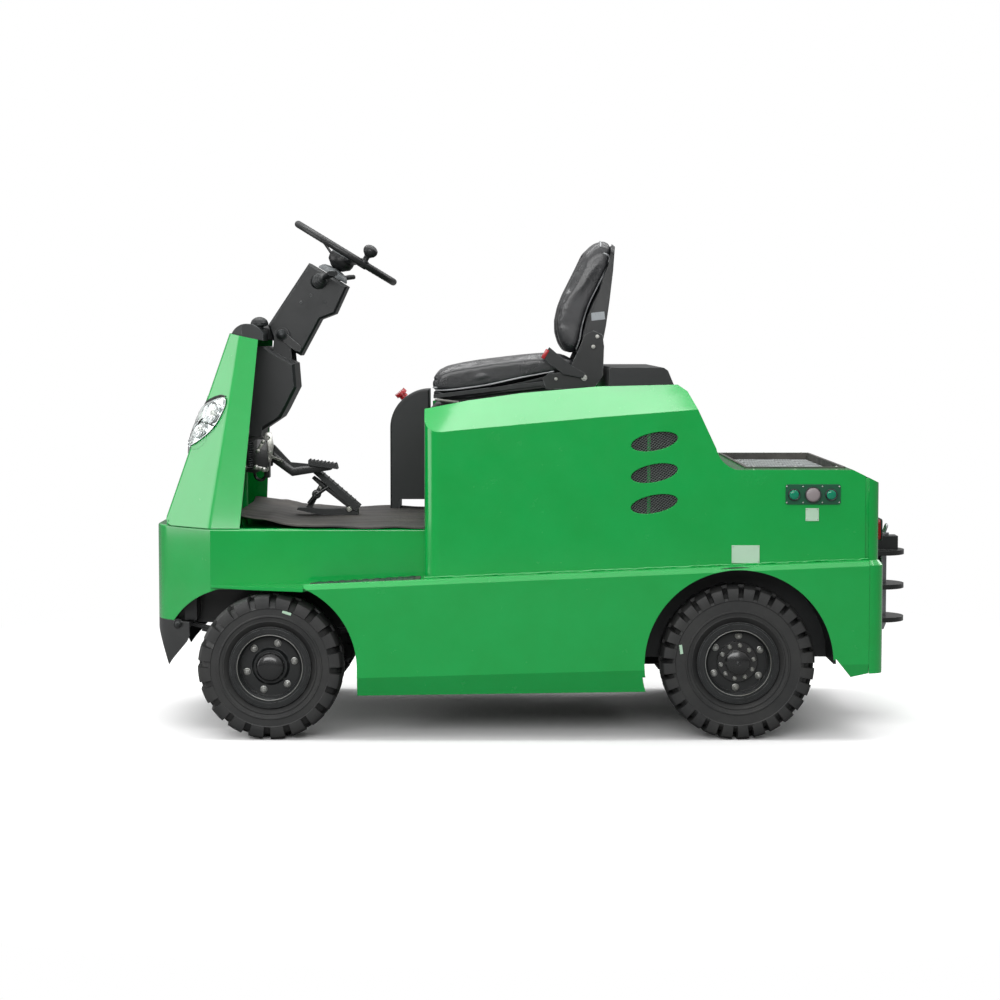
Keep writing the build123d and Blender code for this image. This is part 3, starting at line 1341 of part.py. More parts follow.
# Stalks: ribbed boot on the shroud's side, rod, flat grip
# Columns: side, direction out of the boot, rod length
STALKS = [
    (-1, (0.42, -0.89, 0.18), 96.0),
    (1, (0.60, 0.79, 0.13), 120.0),
]
STALK_X = TILT_X + 118.0
STALK_Z = 1397.0
with BuildPart() as column_stalks:
    for side, direction, length in STALKS:
        root = Vector(STALK_X, side * (UPPER_HALF + GAP), STALK_Z)
        out = Vector(*direction).normalized()
        across = out.cross(Vector(0, 0, 1)).normalized()
        with BuildSketch(Plane(origin=root, x_dir=across, z_dir=across.cross(out))):
            with BuildLine():
                Polyline(
                    (0, -20),
                    (25, -20),
                    (25, 4),
                    (20, 8),
                    (23, 13),
                    (16, 18),
                    (19, 23),
                    (12, 28),
                    (14, 33),
                    (7, 40),
                    (6, length - 10),
                    (0, length - 10),
                    close=True,
                )
            make_face()
        revolve(axis=Axis(root, out))
        grip_plane = Plane(origin=root + out * (length - 34), x_dir=across, z_dir=out)
        with BuildSketch(grip_plane):
            RectangleRounded(24, 13, 6)
        with BuildSketch(grip_plane.offset(60)):
            RectangleRounded(34, 15, 7)
        loft()
    with Locations((STALK_X, 0, STALK_Z)):
        Box(600, 2 * (UPPER_HALF + GAP), 600, mode=Mode.SUBTRACT)
keep(column_stalks, "column_stalks")

# Tilt lever on the end of the tilt pin
LEVER_Y = EAR_Y + EAR_T + 2 * GAP
with BuildPart() as tilt_lever:
    with BuildSketch(Plane.XZ.offset(LEVER_Y)):
        with BuildLine():
            Polyline(
                (TILT_X - 8, TILT_Z + 10),
                (TILT_X + 6, TILT_Z + 12),
                (TILT_X + 64, TILT_Z - 38),
                (TILT_X + 58, TILT_Z - 54),
                (TILT_X + 42, TILT_Z - 50),
                (TILT_X - 12, TILT_Z - 6),
                close=True,
            )
        make_face()
        with Locations((TILT_X, TILT_Z)):
            Circle(15)
    extrude(amount=12)
keep(tilt_lever, "tilt_lever")

# Right-hand console with the emergency stop
CONSOLE_IN, CONSOLE_OUT = 340.0, 500.0
CONSOLE_X = SEAT_BOX_X - MOVING_GAP - 2
CONSOLE_TOP_Z = 1044.0
CONSOLE_R = 130.0
CONSOLE_LOW_Z = 673.0
STOP_ANGLE = 50.0
corner = (CONSOLE_X - 3, CONSOLE_TOP_Z - CONSOLE_R)
with BuildPart() as side_console:
    with BuildSketch(Plane.XZ.offset(-CONSOLE_IN)):
        with BuildLine():
            brow = ThreePointArc(
                (corner[0], CONSOLE_TOP_Z),
                (corner[0] - CONSOLE_R * cos(radians(45)), corner[1] + CONSOLE_R * sin(radians(45))),
                (corner[0] - CONSOLE_R, corner[1]),
            )
            Polyline(
                brow @ 1,
                (corner[0] - CONSOLE_R, MAT_TOP + GAP),
                (corner[0] - CONSOLE_R + 33, MAT_TOP + GAP),
                (corner[0] - CONSOLE_R + 33, CONSOLE_LOW_Z),
                (CONSOLE_X, CONSOLE_LOW_Z),
                (CONSOLE_X, CONSOLE_TOP_Z),
                brow @ 0,
            )
        make_face()
    extrude(amount=-(CONSOLE_OUT - CONSOLE_IN))
    fillet(side_console.edges().filter_by(lambda e: e.center().Z > 800 and e.length > 190), 6)
keep(side_console, "side_console")

with BuildPart() as emergency_stop:
    away = (-cos(radians(STOP_ANGLE)), 0, sin(radians(STOP_ANGLE)))
    reach = CONSOLE_R + GAP
    stop_plane = Plane(
        origin=(corner[0] + reach * away[0], (CONSOLE_IN + CONSOLE_OUT) / 2, corner[1] + reach * away[2]),
        x_dir=(0, 1, 0),
        z_dir=away,
    )
    with BuildSketch(stop_plane):
        Circle(14)
    extrude(amount=12)
    with BuildSketch(stop_plane.offset(12)):
        Circle(20)
    extrude(amount=12)
    fillet(emergency_stop.faces().sort_by(Axis.Z)[-1].edges(), 4)
keep(emergency_stop, "emergency_stop")

# Seat hood with the raised box behind the seat, and its share of the hinge
HOOD_HALF = HOOD_Y - MOVING_GAP
HOOD_WALL = 8.0
HOOD_REAR_X = HINGE_X - 18.0
RAISED_X = SLOPE_TOP_X - 205.0
RAISED_Z = HOOD_Z + 127.0


def hood_side(inset, low_z):
    """Side outline of the hood, moved inwards by `inset`."""
    front_x = SEAT_BOX_X + 2 + inset
    rear_x = HOOD_REAR_X - inset
    return side_face(
        (front_x, low_z),
        (front_x, HOOD_Z - 12),
        (front_x + 12, HOOD_Z - inset),
        (RAISED_X - 5 + inset, HOOD_Z - inset),
        (RAISED_X + inset, RAISED_Z - inset),
        (rear_x - 34, RAISED_Z - inset),
        (rear_x - 21, RAISED_Z - 9 - inset),
        (rear_x, HINGE_Z + 10 - inset),
        (rear_x, low_z),
    )


with BuildPart() as seat_hood:
    extrude(hood_side(0, HOOD_EDGE_Z), amount=HOOD_HALF, both=True)
    fillet(seat_hood.edges().filter_by(Axis.Y).filter_by(lambda e: e.center().Z > HOOD_Z + 60), 10)
    extrude(hood_side(HOOD_WALL, HOOD_EDGE_Z - 1), amount=HOOD_HALF - HOOD_WALL, both=True, mode=Mode.SUBTRACT)
    for side in (-1, 1):
        knuckle_y = side * (HINGE_MIDDLE + GAP + HINGE_END) / 2
        knuckle_length = HINGE_END - HINGE_MIDDLE - GAP
        with Locations(((HINGE_X + HOOD_REAR_X - 2) / 2, knuckle_y, HINGE_Z - HINGE_R + 3)):
            Box(HINGE_X - HOOD_REAR_X + 2, knuckle_length, 6)
        with Locations((HINGE_X, knuckle_y, HINGE_Z)):
            Cylinder(HINGE_R, knuckle_length, rotation=(90, 0, 0))
            Cylinder(HINGE_PIN_R + SHAFT_CLEARANCE, knuckle_length + 2, rotation=(90, 0, 0), mode=Mode.SUBTRACT)
keep(seat_hood, "seat_hood")

# Seat: rails, pan, cushion, backrest, hip brackets, buckle; placed from the raised box
SEAT_HALF = 235.0
RAIL_H = 12.0
RAIL_HALF_GAUGE = 150.0
with BuildPart() as seat_rails:
    for side in (-1, 1):
        with Locations((RAISED_X - 329, side * RAIL_HALF_GAUGE, HOOD_Z + GAP + RAIL_H / 2)):
            Box(380, 30, RAIL_H)
keep(seat_rails, "seat_rails")

SEAT_LOW_Z = HOOD_Z + 2 * GAP + RAIL_H
PAN_T = 12.0
PAN_FRONT = (RAISED_X - 541, 1040.0)
PAN_REAR = (RAISED_X - 99, 1094.0)
with BuildPart() as seat_base:
    extrude(
        side_face(
            PAN_FRONT,
            PAN_REAR,
            (PAN_REAR[0] + 30, SEAT_LOW_Z),
            (PAN_FRONT[0] + 22, SEAT_LOW_Z),
        ),
        amount=SEAT_HALF - 40,
        both=True,
    )
    extrude(
        side_face(
            PAN_FRONT,
            PAN_REAR,
            (PAN_REAR[0] + 12, PAN_REAR[1] - PAN_T),
            (PAN_FRONT[0], PAN_FRONT[1] - PAN_T),
        ),
        amount=SEAT_HALF,
        both=True,
    )
keep(seat_base, "seat_base")

CUSHION_FRONT_H = 56.0
CUSHION_REAR_H = 66.0
with BuildPart() as seat_cushion:
    with BuildSketch(Plane.XZ):
        with BuildLine():
            crown = ThreePointArc(
                (PAN_FRONT[0] - 2, PAN_FRONT[1] + CUSHION_FRONT_H),
                (PAN_FRONT[0] + 70, PAN_FRONT[1] + 79),
                (PAN_REAR[0] - 30, PAN_REAR[1] + CUSHION_REAR_H),
            )
            Polyline(
                crown @ 1,
                (PAN_REAR[0] - 2, PAN_REAR[1] + 12),
                (PAN_REAR[0] - 2, PAN_REAR[1] + 2 * GAP),
                (PAN_FRONT[0] - 10, PAN_FRONT[1] + GAP),
                (PAN_FRONT[0] - 14, PAN_FRONT[1] + 22),
                crown @ 0,
            )
        make_face()
    extrude(amount=SEAT_HALF, both=True)
keep(seat_cushion, "seat_cushion")

with BuildPart() as seat_back:
    with BuildSketch(Plane.XZ):
        with BuildLine():
            belly = ThreePointArc(
                (RAISED_X - 117, 1176), (RAISED_X - 156, 1232), (RAISED_X - 128, 1312)
            )
            front = Line(belly @ 1, (RAISED_X - 62, 1470))
            top = ThreePointArc(front @ 1, (RAISED_X - 22, 1524), (RAISED_X + 28, 1500))
            Polyline(top @ 1, (RAISED_X - 4, 1200), (RAISED_X - 60, 1170), belly @ 0)
        make_face()
    extrude(amount=SEAT_HALF, both=True)
keep(seat_back, "seat_back")

BRACKET_T = 6.0
with BuildPart() as seat_brackets:
    extrude(
        side_face(
            (RAISED_X - 201, 1092),
            (RAISED_X - 181, 1106),
            (RAISED_X - 119, 1112),
            (RAISED_X - 79, 1200),
            (RAISED_X - 69, 1226),
            (RAISED_X - 41, 1240),
            (RAISED_X - 13, 1226),
            (RAISED_X - 8, 1190),
            (RAISED_X - 11, 1100),
            (RAISED_X - 39, 1060),
            (RAISED_X - 189, 1056),
            y=-SEAT_HALF - GAP,
        ),
        amount=BRACKET_T,
    )
    mirror(about=Plane.XZ)
keep(seat_brackets, "seat_brackets")

with BuildPart() as belt_buckle:
    extrude(
        side_face(
            (RAISED_X - 205, 1156),
            (RAISED_X - 179, 1188),
            (RAISED_X - 115, 1134),
            (RAISED_X - 67, 1106),
            (RAISED_X - 75, 1092),
            (RAISED_X - 135, 1104),
            y=-SEAT_HALF - BRACKET_T - 2 * GAP,
        ),
        amount=16,
    )
keep(belt_buckle, "belt_buckle")
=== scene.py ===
import bpy
import bmesh
import json
from math import cos, exp, pi, radians, sin, sqrt
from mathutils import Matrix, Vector
from mathutils.bvhtree import BVHTree


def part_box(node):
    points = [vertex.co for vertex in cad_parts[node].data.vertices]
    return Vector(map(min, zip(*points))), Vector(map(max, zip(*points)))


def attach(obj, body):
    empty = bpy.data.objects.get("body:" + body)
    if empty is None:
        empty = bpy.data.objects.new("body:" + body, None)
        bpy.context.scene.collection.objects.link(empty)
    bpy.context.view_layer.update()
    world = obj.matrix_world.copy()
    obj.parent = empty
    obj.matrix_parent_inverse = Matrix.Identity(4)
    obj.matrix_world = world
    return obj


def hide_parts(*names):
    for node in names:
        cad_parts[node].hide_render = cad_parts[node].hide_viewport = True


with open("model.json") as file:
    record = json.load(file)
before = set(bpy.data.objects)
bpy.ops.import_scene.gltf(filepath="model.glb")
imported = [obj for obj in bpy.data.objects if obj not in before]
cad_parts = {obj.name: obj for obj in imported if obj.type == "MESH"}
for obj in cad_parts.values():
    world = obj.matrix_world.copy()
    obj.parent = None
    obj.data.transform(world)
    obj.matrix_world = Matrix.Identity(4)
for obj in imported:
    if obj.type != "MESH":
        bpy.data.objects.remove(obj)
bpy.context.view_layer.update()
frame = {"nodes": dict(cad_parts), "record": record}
nodes = frame["nodes"]

# X runs to the rear of the tractor, Y to its right side and Z up
SIDES = (("left", -1), ("right", 1))
MM = 0.001
REARWARD, RIGHT, LEFT = (1, 0, 0), (0, 1, 0), (0, -1, 0)
UP, DOWN = (0, 0, 1), (0, 0, -1)

# Materials


def shader_nodes(name):
    """A new material of the given name. Returns the material, its node tree and its main shader."""
    material = bpy.data.materials.new(name)
    material.use_nodes = True
    tree = material.node_tree
    return material, tree, tree.nodes["Principled BSDF"]


def feed(tree, node, *numbered, **named):
    """Gives inputs of a node their values: a number, a vector, a colour or another node's output."""
    for key, value in [*numbered, *named.items()]:
        socket = node.inputs[key.replace("_", " ") if isinstance(key, str) else key]
        if isinstance(value, bpy.types.NodeSocket):
            tree.links.new(value, socket)
        else:
            socket.default_value = (*value, 1.0) if socket.type == "RGBA" else value


def add_node(tree, kind, *numbered, **named):
    """A new node with its settings and inputs by name, and inputs by number as pairs."""
    node = tree.nodes.new("ShaderNode" + kind)
    for key in [key for key in named if hasattr(node, key)]:
        setattr(node, key, named.pop(key))
    feed(tree, node, *numbered, **named)
    return node


def noise(tree, scale, detail=4, rough=0.55, stretch=None):
    """Noise in object space, stretched along an axis if asked."""
    source = add_node(tree, "TexCoord").outputs["Object"]
    if stretch:
        source = add_node(tree, "Mapping", Vector=source, Scale=stretch).outputs["Vector"]
    return add_node(tree, "TexNoise", Vector=source, Scale=scale, Detail=detail, Roughness=rough).outputs[0]


def spread(tree, value, low, high, out_low=0, out_high=1):
    """Maps low..high of a value to out_low..out_high."""
    return add_node(tree, "MapRange", Value=value, From_Min=low, From_Max=high, To_Min=out_low,
                    To_Max=out_high).outputs["Result"]


def blend_colour(tree, factor, first, second):
    return add_node(tree, "Mix", (0, factor), (6, first), (7, second), data_type="RGBA").outputs[2]


def maths(tree, operation, first, second):
    return add_node(tree, "Math", (0, first), (1, second), operation=operation).outputs[0]


def bevelled(tree, radius):
    """The surface's normal with its edges rounded off."""
    return add_node(tree, "Bevel", samples=4, Radius=radius).outputs[0]


def bump(tree, height, strength, distance, normal=None):
    """The normal of a bumpy surface, over another normal if given."""
    node = add_node(tree, "Bump", Height=height, Strength=strength, Distance=distance)
    if normal is not None:
        feed(tree, node, Normal=normal)
    return node.outputs[0]


def edge_mask(tree):
    """1 on outer edges and 0 on flat faces, from the rounded normal against the face's own."""
    own = add_node(tree, "NewGeometry").outputs["Normal"]
    dot = add_node(tree, "VectorMath", (0, bevelled(tree, 0.0025)), (1, own), operation="DOT_PRODUCT")
    return spread(tree, dot.outputs["Value"], 0.98, 0.88)


def linear(code):
    """An sRGB code as the linear colour a shader takes."""
    return tuple(v / 255 / 12.92 if v < 11 else ((v / 255 + 0.055) / 1.055) ** 2.4 for v in bytes.fromhex(code))


def plain(name, colour, shade, rough, grain, depth, metal=0, coat=0, edge=None, spec=0.5,
          stretch=None, rough_span=0.12, round_edges=0.0015):
    """Surface with two scales of colour variation, uneven gloss, fine grain and, if asked, paler edges that are
    painted highlights broken into wear-like patches.
    """
    material, tree, shader = shader_nodes(name)
    colour, shade = linear(colour), linear(shade)
    mixed = blend_colour(tree, spread(tree, noise(tree, 7, 5, 0.6), 0.35, 0.68), colour, shade)
    fine = noise(tree, grain, 6, 0.6, stretch)
    mixed = blend_colour(tree, spread(tree, fine, 0.3, 0.75, 0, 0.35), mixed, shade)
    # The edge colour paints a highlight along outer edges, broken into patches like wear
    if edge:
        patches = spread(tree, noise(tree, 45, 6), 0.4, 0.62)
        mixed = blend_colour(tree, maths(tree, "MULTIPLY", edge_mask(tree), patches), mixed, linear(edge))
    gloss = noise(tree, 16, 6, 0.65, stretch)
    feed(tree, shader, Base_Color=mixed, Metallic=metal, Coat_Weight=coat, Coat_Roughness=0.08,
         Roughness=spread(tree, gloss, 0.3, 0.7, rough - rough_span / 2, rough + rough_span / 2),
         Specular_IOR_Level=spec,
         Normal=bump(tree, fine, 0.35, depth * MM, bevelled(tree, round_edges) if round_edges else None))
    return material


def lens(name, colour, rough, clearness):
    """Clear or coloured lens plastic with slight unevenness."""
    material, tree, shader = shader_nodes(name)
    patches = spread(tree, noise(tree, 30), 0.3, 0.7)
    varied = blend_colour(tree, patches, colour, tuple(c * 0.93 for c in colour))
    feed(tree, shader, Base_Color=varied, Transmission_Weight=clearness, IOR=1.46,
         Roughness=spread(tree, noise(tree, 60), 0.3, 0.7, rough * 0.7, rough * 1.3),
         Normal=bump(tree, noise(tree, 220), 0.15, 0.0001))
    return material


def checked_mat():
    """Grey ribbed mat with darker worn checks."""
    material, tree, shader = shader_nodes("tray_mat")
    place = add_node(tree, "Mapping", Vector=add_node(tree, "TexCoord").outputs["Object"], Scale=(1, 1, 0),
                     Location=(0.012, 0.02, 0.5))
    checks = add_node(tree, "TexChecker", Vector=place.outputs["Vector"], Scale=17,
                      Color1=linear("acb0b1"), Color2=linear("626466"))
    dust = spread(tree, noise(tree, 42, 6, 0.7), 0.35, 0.7, 0, 0.55)
    feed(tree, shader, Base_Color=blend_colour(tree, dust, checks.outputs["Color"], linear("8a8a88")),
         Roughness=spread(tree, noise(tree, 25), 0.3, 0.7, 0.5, 0.75),
         Normal=bump(tree, noise(tree, 500, 5), 0.4, 0.0004))
    return material


def grained_vinyl():
    """Seat vinyl: leather grain from cells, soft creases, uneven sheen."""
    material, tree, shader = shader_nodes("seat_vinyl")
    cells = add_node(tree, "TexVoronoi", Vector=add_node(tree, "TexCoord").outputs["Object"], Scale=520,
                     feature="DISTANCE_TO_EDGE")
    grain = spread(tree, cells.outputs["Distance"], 0, 0.12)
    creases = noise(tree, 16, 8, 0.62)
    worn = spread(tree, creases, 0.35, 0.7)
    feed(tree, shader, Base_Color=blend_colour(tree, worn, linear("242528"), linear("1b1c1e")),
         Roughness=spread(tree, noise(tree, 9, 5), 0.3, 0.7, 0.24, 0.36),
         Specular_IOR_Level=0.6, Coat_Weight=0.45, Coat_Roughness=0.2,
         Normal=bump(tree, grain, 0.45, 0.00035, bump(tree, creases, 0.35, 0.0022)))
    return material


# Each one: name, colour, second colour, roughness, grain scale and grain depth in millimetres
green = plain("green_paint", "00a648", "00a042", 0.24, 420, 0.04, coat=1, spec=0.3, rough_span=0.08,
              round_edges=0.003)
# edge= is a pale colour painted along outer edges as a highlight, in wear-like patches
black_paint = plain("black_paint", "1e2021", "141616", 0.34, 260, 0.3, coat=0.25, edge="5c6060")
black_plastic = plain("black_plastic", "161a1b", "111415", 0.42, 1500, 0.25, edge="707476")
# Near-black for the vent hollows: painted shade inside the vents
painted_shade_black = plain("painted_shade_black", "181a1a", "262522", 0.6, 180, 0.6)
steel = plain("bare_steel", "aaacae", "808284", 0.3, 600, 0.2, metal=1,
              stretch=(1, 1, 12), round_edges=0.001)
zinc = plain("zinc_plate", "cdcecc", "a0a098", 0.32, 900, 0.1, metal=1, round_edges=0.0008)
rubber = plain("tyre_rubber", "212223", "323231", 0.56, 330, 0.8, rough_span=0.2, round_edges=0)
mat_black = plain("mat_rubber", "302f30", "56524e", 0.62, 60, 0.8, spec=0.4,
                  stretch=(0.22, 1, 1), rough_span=0.25)
hub_gloss = plain("hub_gloss", "18191a", "222222", 0.26, 300, 0.2, coat=0.5)
pale_plate = plain("pale_plate", "bedec4", "b0d2b8", 0.35, 500, 0.1)
seal_rubber = plain("seal_rubber", "18191a", "222223", 0.55, 700, 0.3)
steel_dark = plain("blackened_steel", "3a3d3e", "2c2f30", 0.36, 500, 0.2, metal=0.6,
                   edge="969898")
grey_plastic = plain("grey_plastic", "7a7e80", "686c6e", 0.42, 1200, 0.15, edge="aaaeaf")
tread_green = plain("tread_green", "0c462c", "123426", 0.5, 240, 0.4, edge="468260")
button_grey = plain("button_grey", "968c8e", "867e80", 0.4, 900, 0.1)
red_plastic = plain("red_plastic", "ba2228", "9e181e", 0.32, 700, 0.1, coat=0.3)
lamp_glass = lens("lamp_glass", (0.94, 0.97, 0.96), 0.03, 1)
lamp_bulb = lens("lamp_bulb", (0.95, 0.95, 0.9), 0.15, 0.6)
lamp_green = lens("lamp_green", linear("169670"), 0.12, 0.25)
lamp_red = lens("lamp_red", linear("b21a1a"), 0.14, 0.25)
lamp_chrome = plain("lamp_chrome", "e2e4e4", "ced0d2", 0.09, 80, 0.1, metal=1,
                    rough_span=0.05, round_edges=0)
tray_mat = checked_mat()
seat_vinyl = grained_vinyl()
grip_plastic = plain("grip_plastic", "1a1c1d", "141516", 0.36, 900, 0.3, edge="606466")
# Very pale edges painted as highlights, for the seat brackets and the tilt lever
bracket_paint_edge_highlight = plain("bracket_paint_edge_highlight", "1a1d1d", "131515", 0.34, 400, 0.3, coat=0.3,
                      edge="bcc0c0")
vent_wire = plain("vent_wire", "707674", "585e5c", 0.4, 800, 0.1)
panel_green = plain("panel_green", "0e5c3c", "0e4c34", 0.32, 700, 0.1, coat=0.3)
shell_plastic = plain("shell_plastic", "1b1d1e", "151617", 0.34, 900, 0.2, edge="505456")
blank_label = plain("blank_label", "a8acb0", "8c9296", 0.3, 500, 0.1)
piping_vinyl = plain("piping_vinyl", "b0b2b4", "96989a", 0.4, 900, 0.2)

# The CAD solids take their slot's material, or a better one of their own
SLOT_MATERIAL = {
    "green_paint": green, "black_paint": black_paint, "black_plastic": black_plastic, "bare_steel": steel,
    "tyre_rubber": rubber, "mat_rubber": mat_black, "lamp_clear": lamp_glass, "lamp_red": lamp_red,
    "red_plastic": red_plastic, "seat_vinyl": seat_vinyl, "pale_plate": pale_plate,
}
# The seat brackets and the tilt lever take the paint with edges painted as highlights
OWN_MATERIAL = {
    "seat_brackets": bracket_paint_edge_highlight, "tilt_lever": bracket_paint_edge_highlight, "button_panel": panel_green,
    "headlamp_left": green, "headlamp_right": green,
}
slots = {part["node"]: part["material_slot"] for part in frame["record"]["subparts"]}
for name, node in nodes.items():
    node.data.materials.clear()
    node.data.materials.append(OWN_MATERIAL.get(name, SLOT_MATERIAL[slots[name]]))

# Building pieces


def turns(count):
    """Angles of so many equal steps round a circle."""
    return [2 * pi * k / count for k in range(count)]


def spoke(angle):
    """A vector 1 m long in the plane of X and Z."""
    return Vector((cos(angle), 0, sin(angle)))


def corners(left, low, right, high):
    return [(left, low), (right, low), (right, high), (left, high)]


class Shape:
    """Points and faces of one piece, gathered from simple forms. Every form returns the shape. Profiles,
    radii, thicknesses and bolt sizes are in millimetres, and places, paths and outlines in metres."""

    def __init__(self):
        self.points = []
        self.faces = []

    def skin(self, rings, wrap=True, closed=False, caps=True):
        """Faces between equal rings. wrap joins each ring's ends, closed the last ring and the first."""
        count = len(rings[0])
        start = len(self.points)
        faces = []
        for i in range(len(rings) if closed else len(rings) - 1):
            low, high = i * count, ((i + 1) % len(rings)) * count
            for j in range(count if wrap else count - 1):
                k = (j + 1) % count
                faces.append((low + j, low + k, high + k, high + j))
        if caps and wrap and not closed:
            faces.append(tuple(reversed(range(count))))
            faces.append(tuple((len(rings) - 1) * count + j for j in range(count)))
        self.points += [tuple(p) for ring in rings for p in ring]
        self.faces += [tuple(start + i for i in face) for face in faces]
        return self

    def lathe(self, profile, centre, axis, steps=48, start=0.0, sweep=2 * pi, closed=False, caps=True,
              unit=MM):
        """Turns (radius, along) pairs about an axis through centre."""
        axis = Vector(axis).normalized()
        side = Vector(UP) if abs(axis.z) < 0.9 else Vector(REARWARD)
        side = (side - axis * side.dot(axis)).normalized()
        other = axis.cross(side)
        centre = Vector(centre)
        whole = sweep > 2 * pi - 1e-6
        rings = []
        for radius, along in profile:
            ring = []
            reach = max(radius * unit, 1e-5)
            for k in range(steps if whole else steps + 1):
                angle = start + sweep * k / steps
                ring.append(centre + axis * (along * unit) + (side * cos(angle) + other * sin(angle)) * reach)
            rings.append(ring)
        return self.skin(rings, wrap=whole, closed=closed, caps=caps)

    def tube(self, path, radius, sides=8, closed=False):
        """A bar along a path of points, with one radius or one for each point."""
        path = [Vector(p) for p in path]
        count = len(path)
        rings = []
        up = None
        for i, point in enumerate(path):
            before = path[i - 1] if i or closed else point
            after = path[(i + 1) % count] if i + 1 < count or closed else point
            along = (after - before).normalized()
            if up is None:
                up = Vector(UP) if abs(along.z) < 0.8 else Vector(REARWARD)
            up = (up - along * up.dot(along)).normalized()
            side = along.cross(up)
            width = (radius[i] if isinstance(radius, list) else radius) * MM
            rings.append([point + (side * cos(angle) + up * sin(angle)) * width for angle in turns(sides)])
        return self.skin(rings, closed=closed)

    def coil(self, start, run, first, second, step, count, wire, sides=6):
        """A wound wire from start along run. Its half widths first and second are in millimetres."""
        start, run, first, second = Vector(start), Vector(run), Vector(first) * MM, Vector(second) * MM
        return self.tube([start + run * (t / count) + first * cos(t * step) + second * sin(t * step)
                          for t in range(count + 1)], wire, sides)

    def slab(self, outline, origin, u, v, thickness):
        """A flat plate: its outline in u and v from origin, raised along u x v."""
        origin, u, v = Vector(origin), Vector(u).normalized(), Vector(v).normalized()
        normal = u.cross(v).normalized()
        low = [origin + u * a + v * b for a, b in outline]
        return self.skin([low, [p + normal * (thickness * MM) for p in low]])

    def upright(self, outline, y, thickness):
        """A plate with its outline in X and Z, from y to the left."""
        return self.slab(outline, (0, y, 0), REARWARD, UP, thickness)

    def level(self, outline, z, thickness):
        """A plate with its outline in X and Y, from z upwards."""
        return self.slab(outline, (0, 0, z), REARWARD, RIGHT, thickness)

    def hex_bolt(self, place, out, head, height, washer=0, stud=0):
        """Hexagon head, with a washer under it and a stud end on it if given."""
        out = Vector(out).normalized()
        base = 0
        if washer:
            base = 2.1
            self.lathe([(washer, 0), (washer, 1.6), (washer - 0.6, base), (0, base)], place, out, 24)
        top = base + height
        self.lathe([(head, base - 0.5), (head, base + height * 0.8), (head * 0.9, top), (0, top)],
                   place, out, 6)
        if stud:
            tip = top + 6
            self.lathe([(stud, top - 1), (stud, top + 5), (stud * 0.8, tip), (0, tip)], place, out, 12)
        return self


def put(name, data):
    """A new object in the scene."""
    thing = bpy.data.objects.new(name, data)
    bpy.context.scene.collection.objects.link(thing)
    return thing


def mesh_of(shape, name, bevel=0):
    """A shape's mesh: doubled points joined, faces turned outwards, sharp edges bevelled if asked."""
    mesh = bpy.data.meshes.new(name)
    mesh.from_pydata(shape.points, [], shape.faces)
    bm = bmesh.new()
    bm.from_mesh(mesh)
    bmesh.ops.remove_doubles(bm, verts=bm.verts, dist=2e-6)
    bmesh.ops.recalc_face_normals(bm, faces=bm.faces)
    if bevel:
        sharp = [e for e in bm.edges if len(e.link_faces) == 2 and e.calc_face_angle() > radians(32)]
        bmesh.ops.bevel(bm, geom=sharp, offset=bevel * MM, segments=2, profile=0.5, affect="EDGES")
    bm.to_mesh(mesh)
    bm.free()
    return mesh


def finish_piece(mesh, name, material, body, replaces):
    """Puts a piece in the scene, smooth-shaded, riding on a body and the nodes it replaces."""
    for polygon in mesh.polygons:
        polygon.use_smooth = True
    mesh.materials.clear()
    mesh.materials.append(material)
    piece = put(name, mesh)
    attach(piece, body)
    if replaces:
        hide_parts(*replaces)
    return piece


def make(shape, name, material, body="chassis", bevel=0, smooth=38, replaces=()):
    """A shape as a piece, smooth up to an angle."""
    mesh = mesh_of(shape, name, bevel)
    piece = finish_piece(mesh, name, material, body, replaces)
    mesh.set_sharp_from_angle(angle=radians(smooth))
    return piece


# The picture's scale: metres to a pixel at the near side, that side's Y, the camera's distance from it,
# and the X and Z of one pixel
PIXEL, NEAR_Y, REACH = 0.003, -0.565, 7.12
VIEW_X, VIEW_Z, VIEW_PIXEL = -0.11435, 1.2614, (500, 323)


def photo_point(px, py, y):
    """X and Z, on the plane at depth y, of a point measured in the picture. It places the small parts."""
    scale = PIXEL * (1 + (y - NEAR_Y) / REACH)
    return VIEW_X + (px - VIEW_PIXEL[0]) * scale, VIEW_Z + (VIEW_PIXEL[1] - py) * scale


def ray_tree(meshes):
    """A tree that tells where a line meets the meshes."""
    points = []
    faces = []
    for mesh in meshes:
        start = len(points)
        points += [v.co.copy() for v in mesh.vertices]
        faces += [tuple(start + i for i in polygon.vertices) for polygon in mesh.polygons]
    return BVHTree.FromPolygons(points, faces)


solid_tree = ray_tree([node.data for node in nodes.values()])


def touch(origin, direction, tree=solid_tree):
    """Where a line from origin first meets the CAD solids, or the meshes of another tree."""
    return tree.ray_cast(Vector(origin), Vector(direction).normalized())[0]


def smooth_step(value, low, high):
    t = min(1.0, max(0.0, (value - low) / (high - low)))
    return t * t * (3 - 2 * t)


def curve(points, parts, closed=False):
    """Smooth line through points, with so many parts between each two."""
    points = [Vector(p) for p in points]
    if closed:
        points = [points[-1]] + points + points[:2]
    else:
        points = [points[0] * 2 - points[1]] + points + [points[-1] * 2 - points[-2]]
    line = []
    for i in range(len(points) - 3):
        a, b, c, d = points[i:i + 4]
        for step in range(parts):
            t = step / parts
            square = (2 * a - 5 * b + 4 * c - d) * t * t
            line.append(0.5 * ((2 * b) + (c - a) * t + square + (3 * b - a - 3 * c + d) * t ** 3))
    return line if closed else line + [points[-2]]


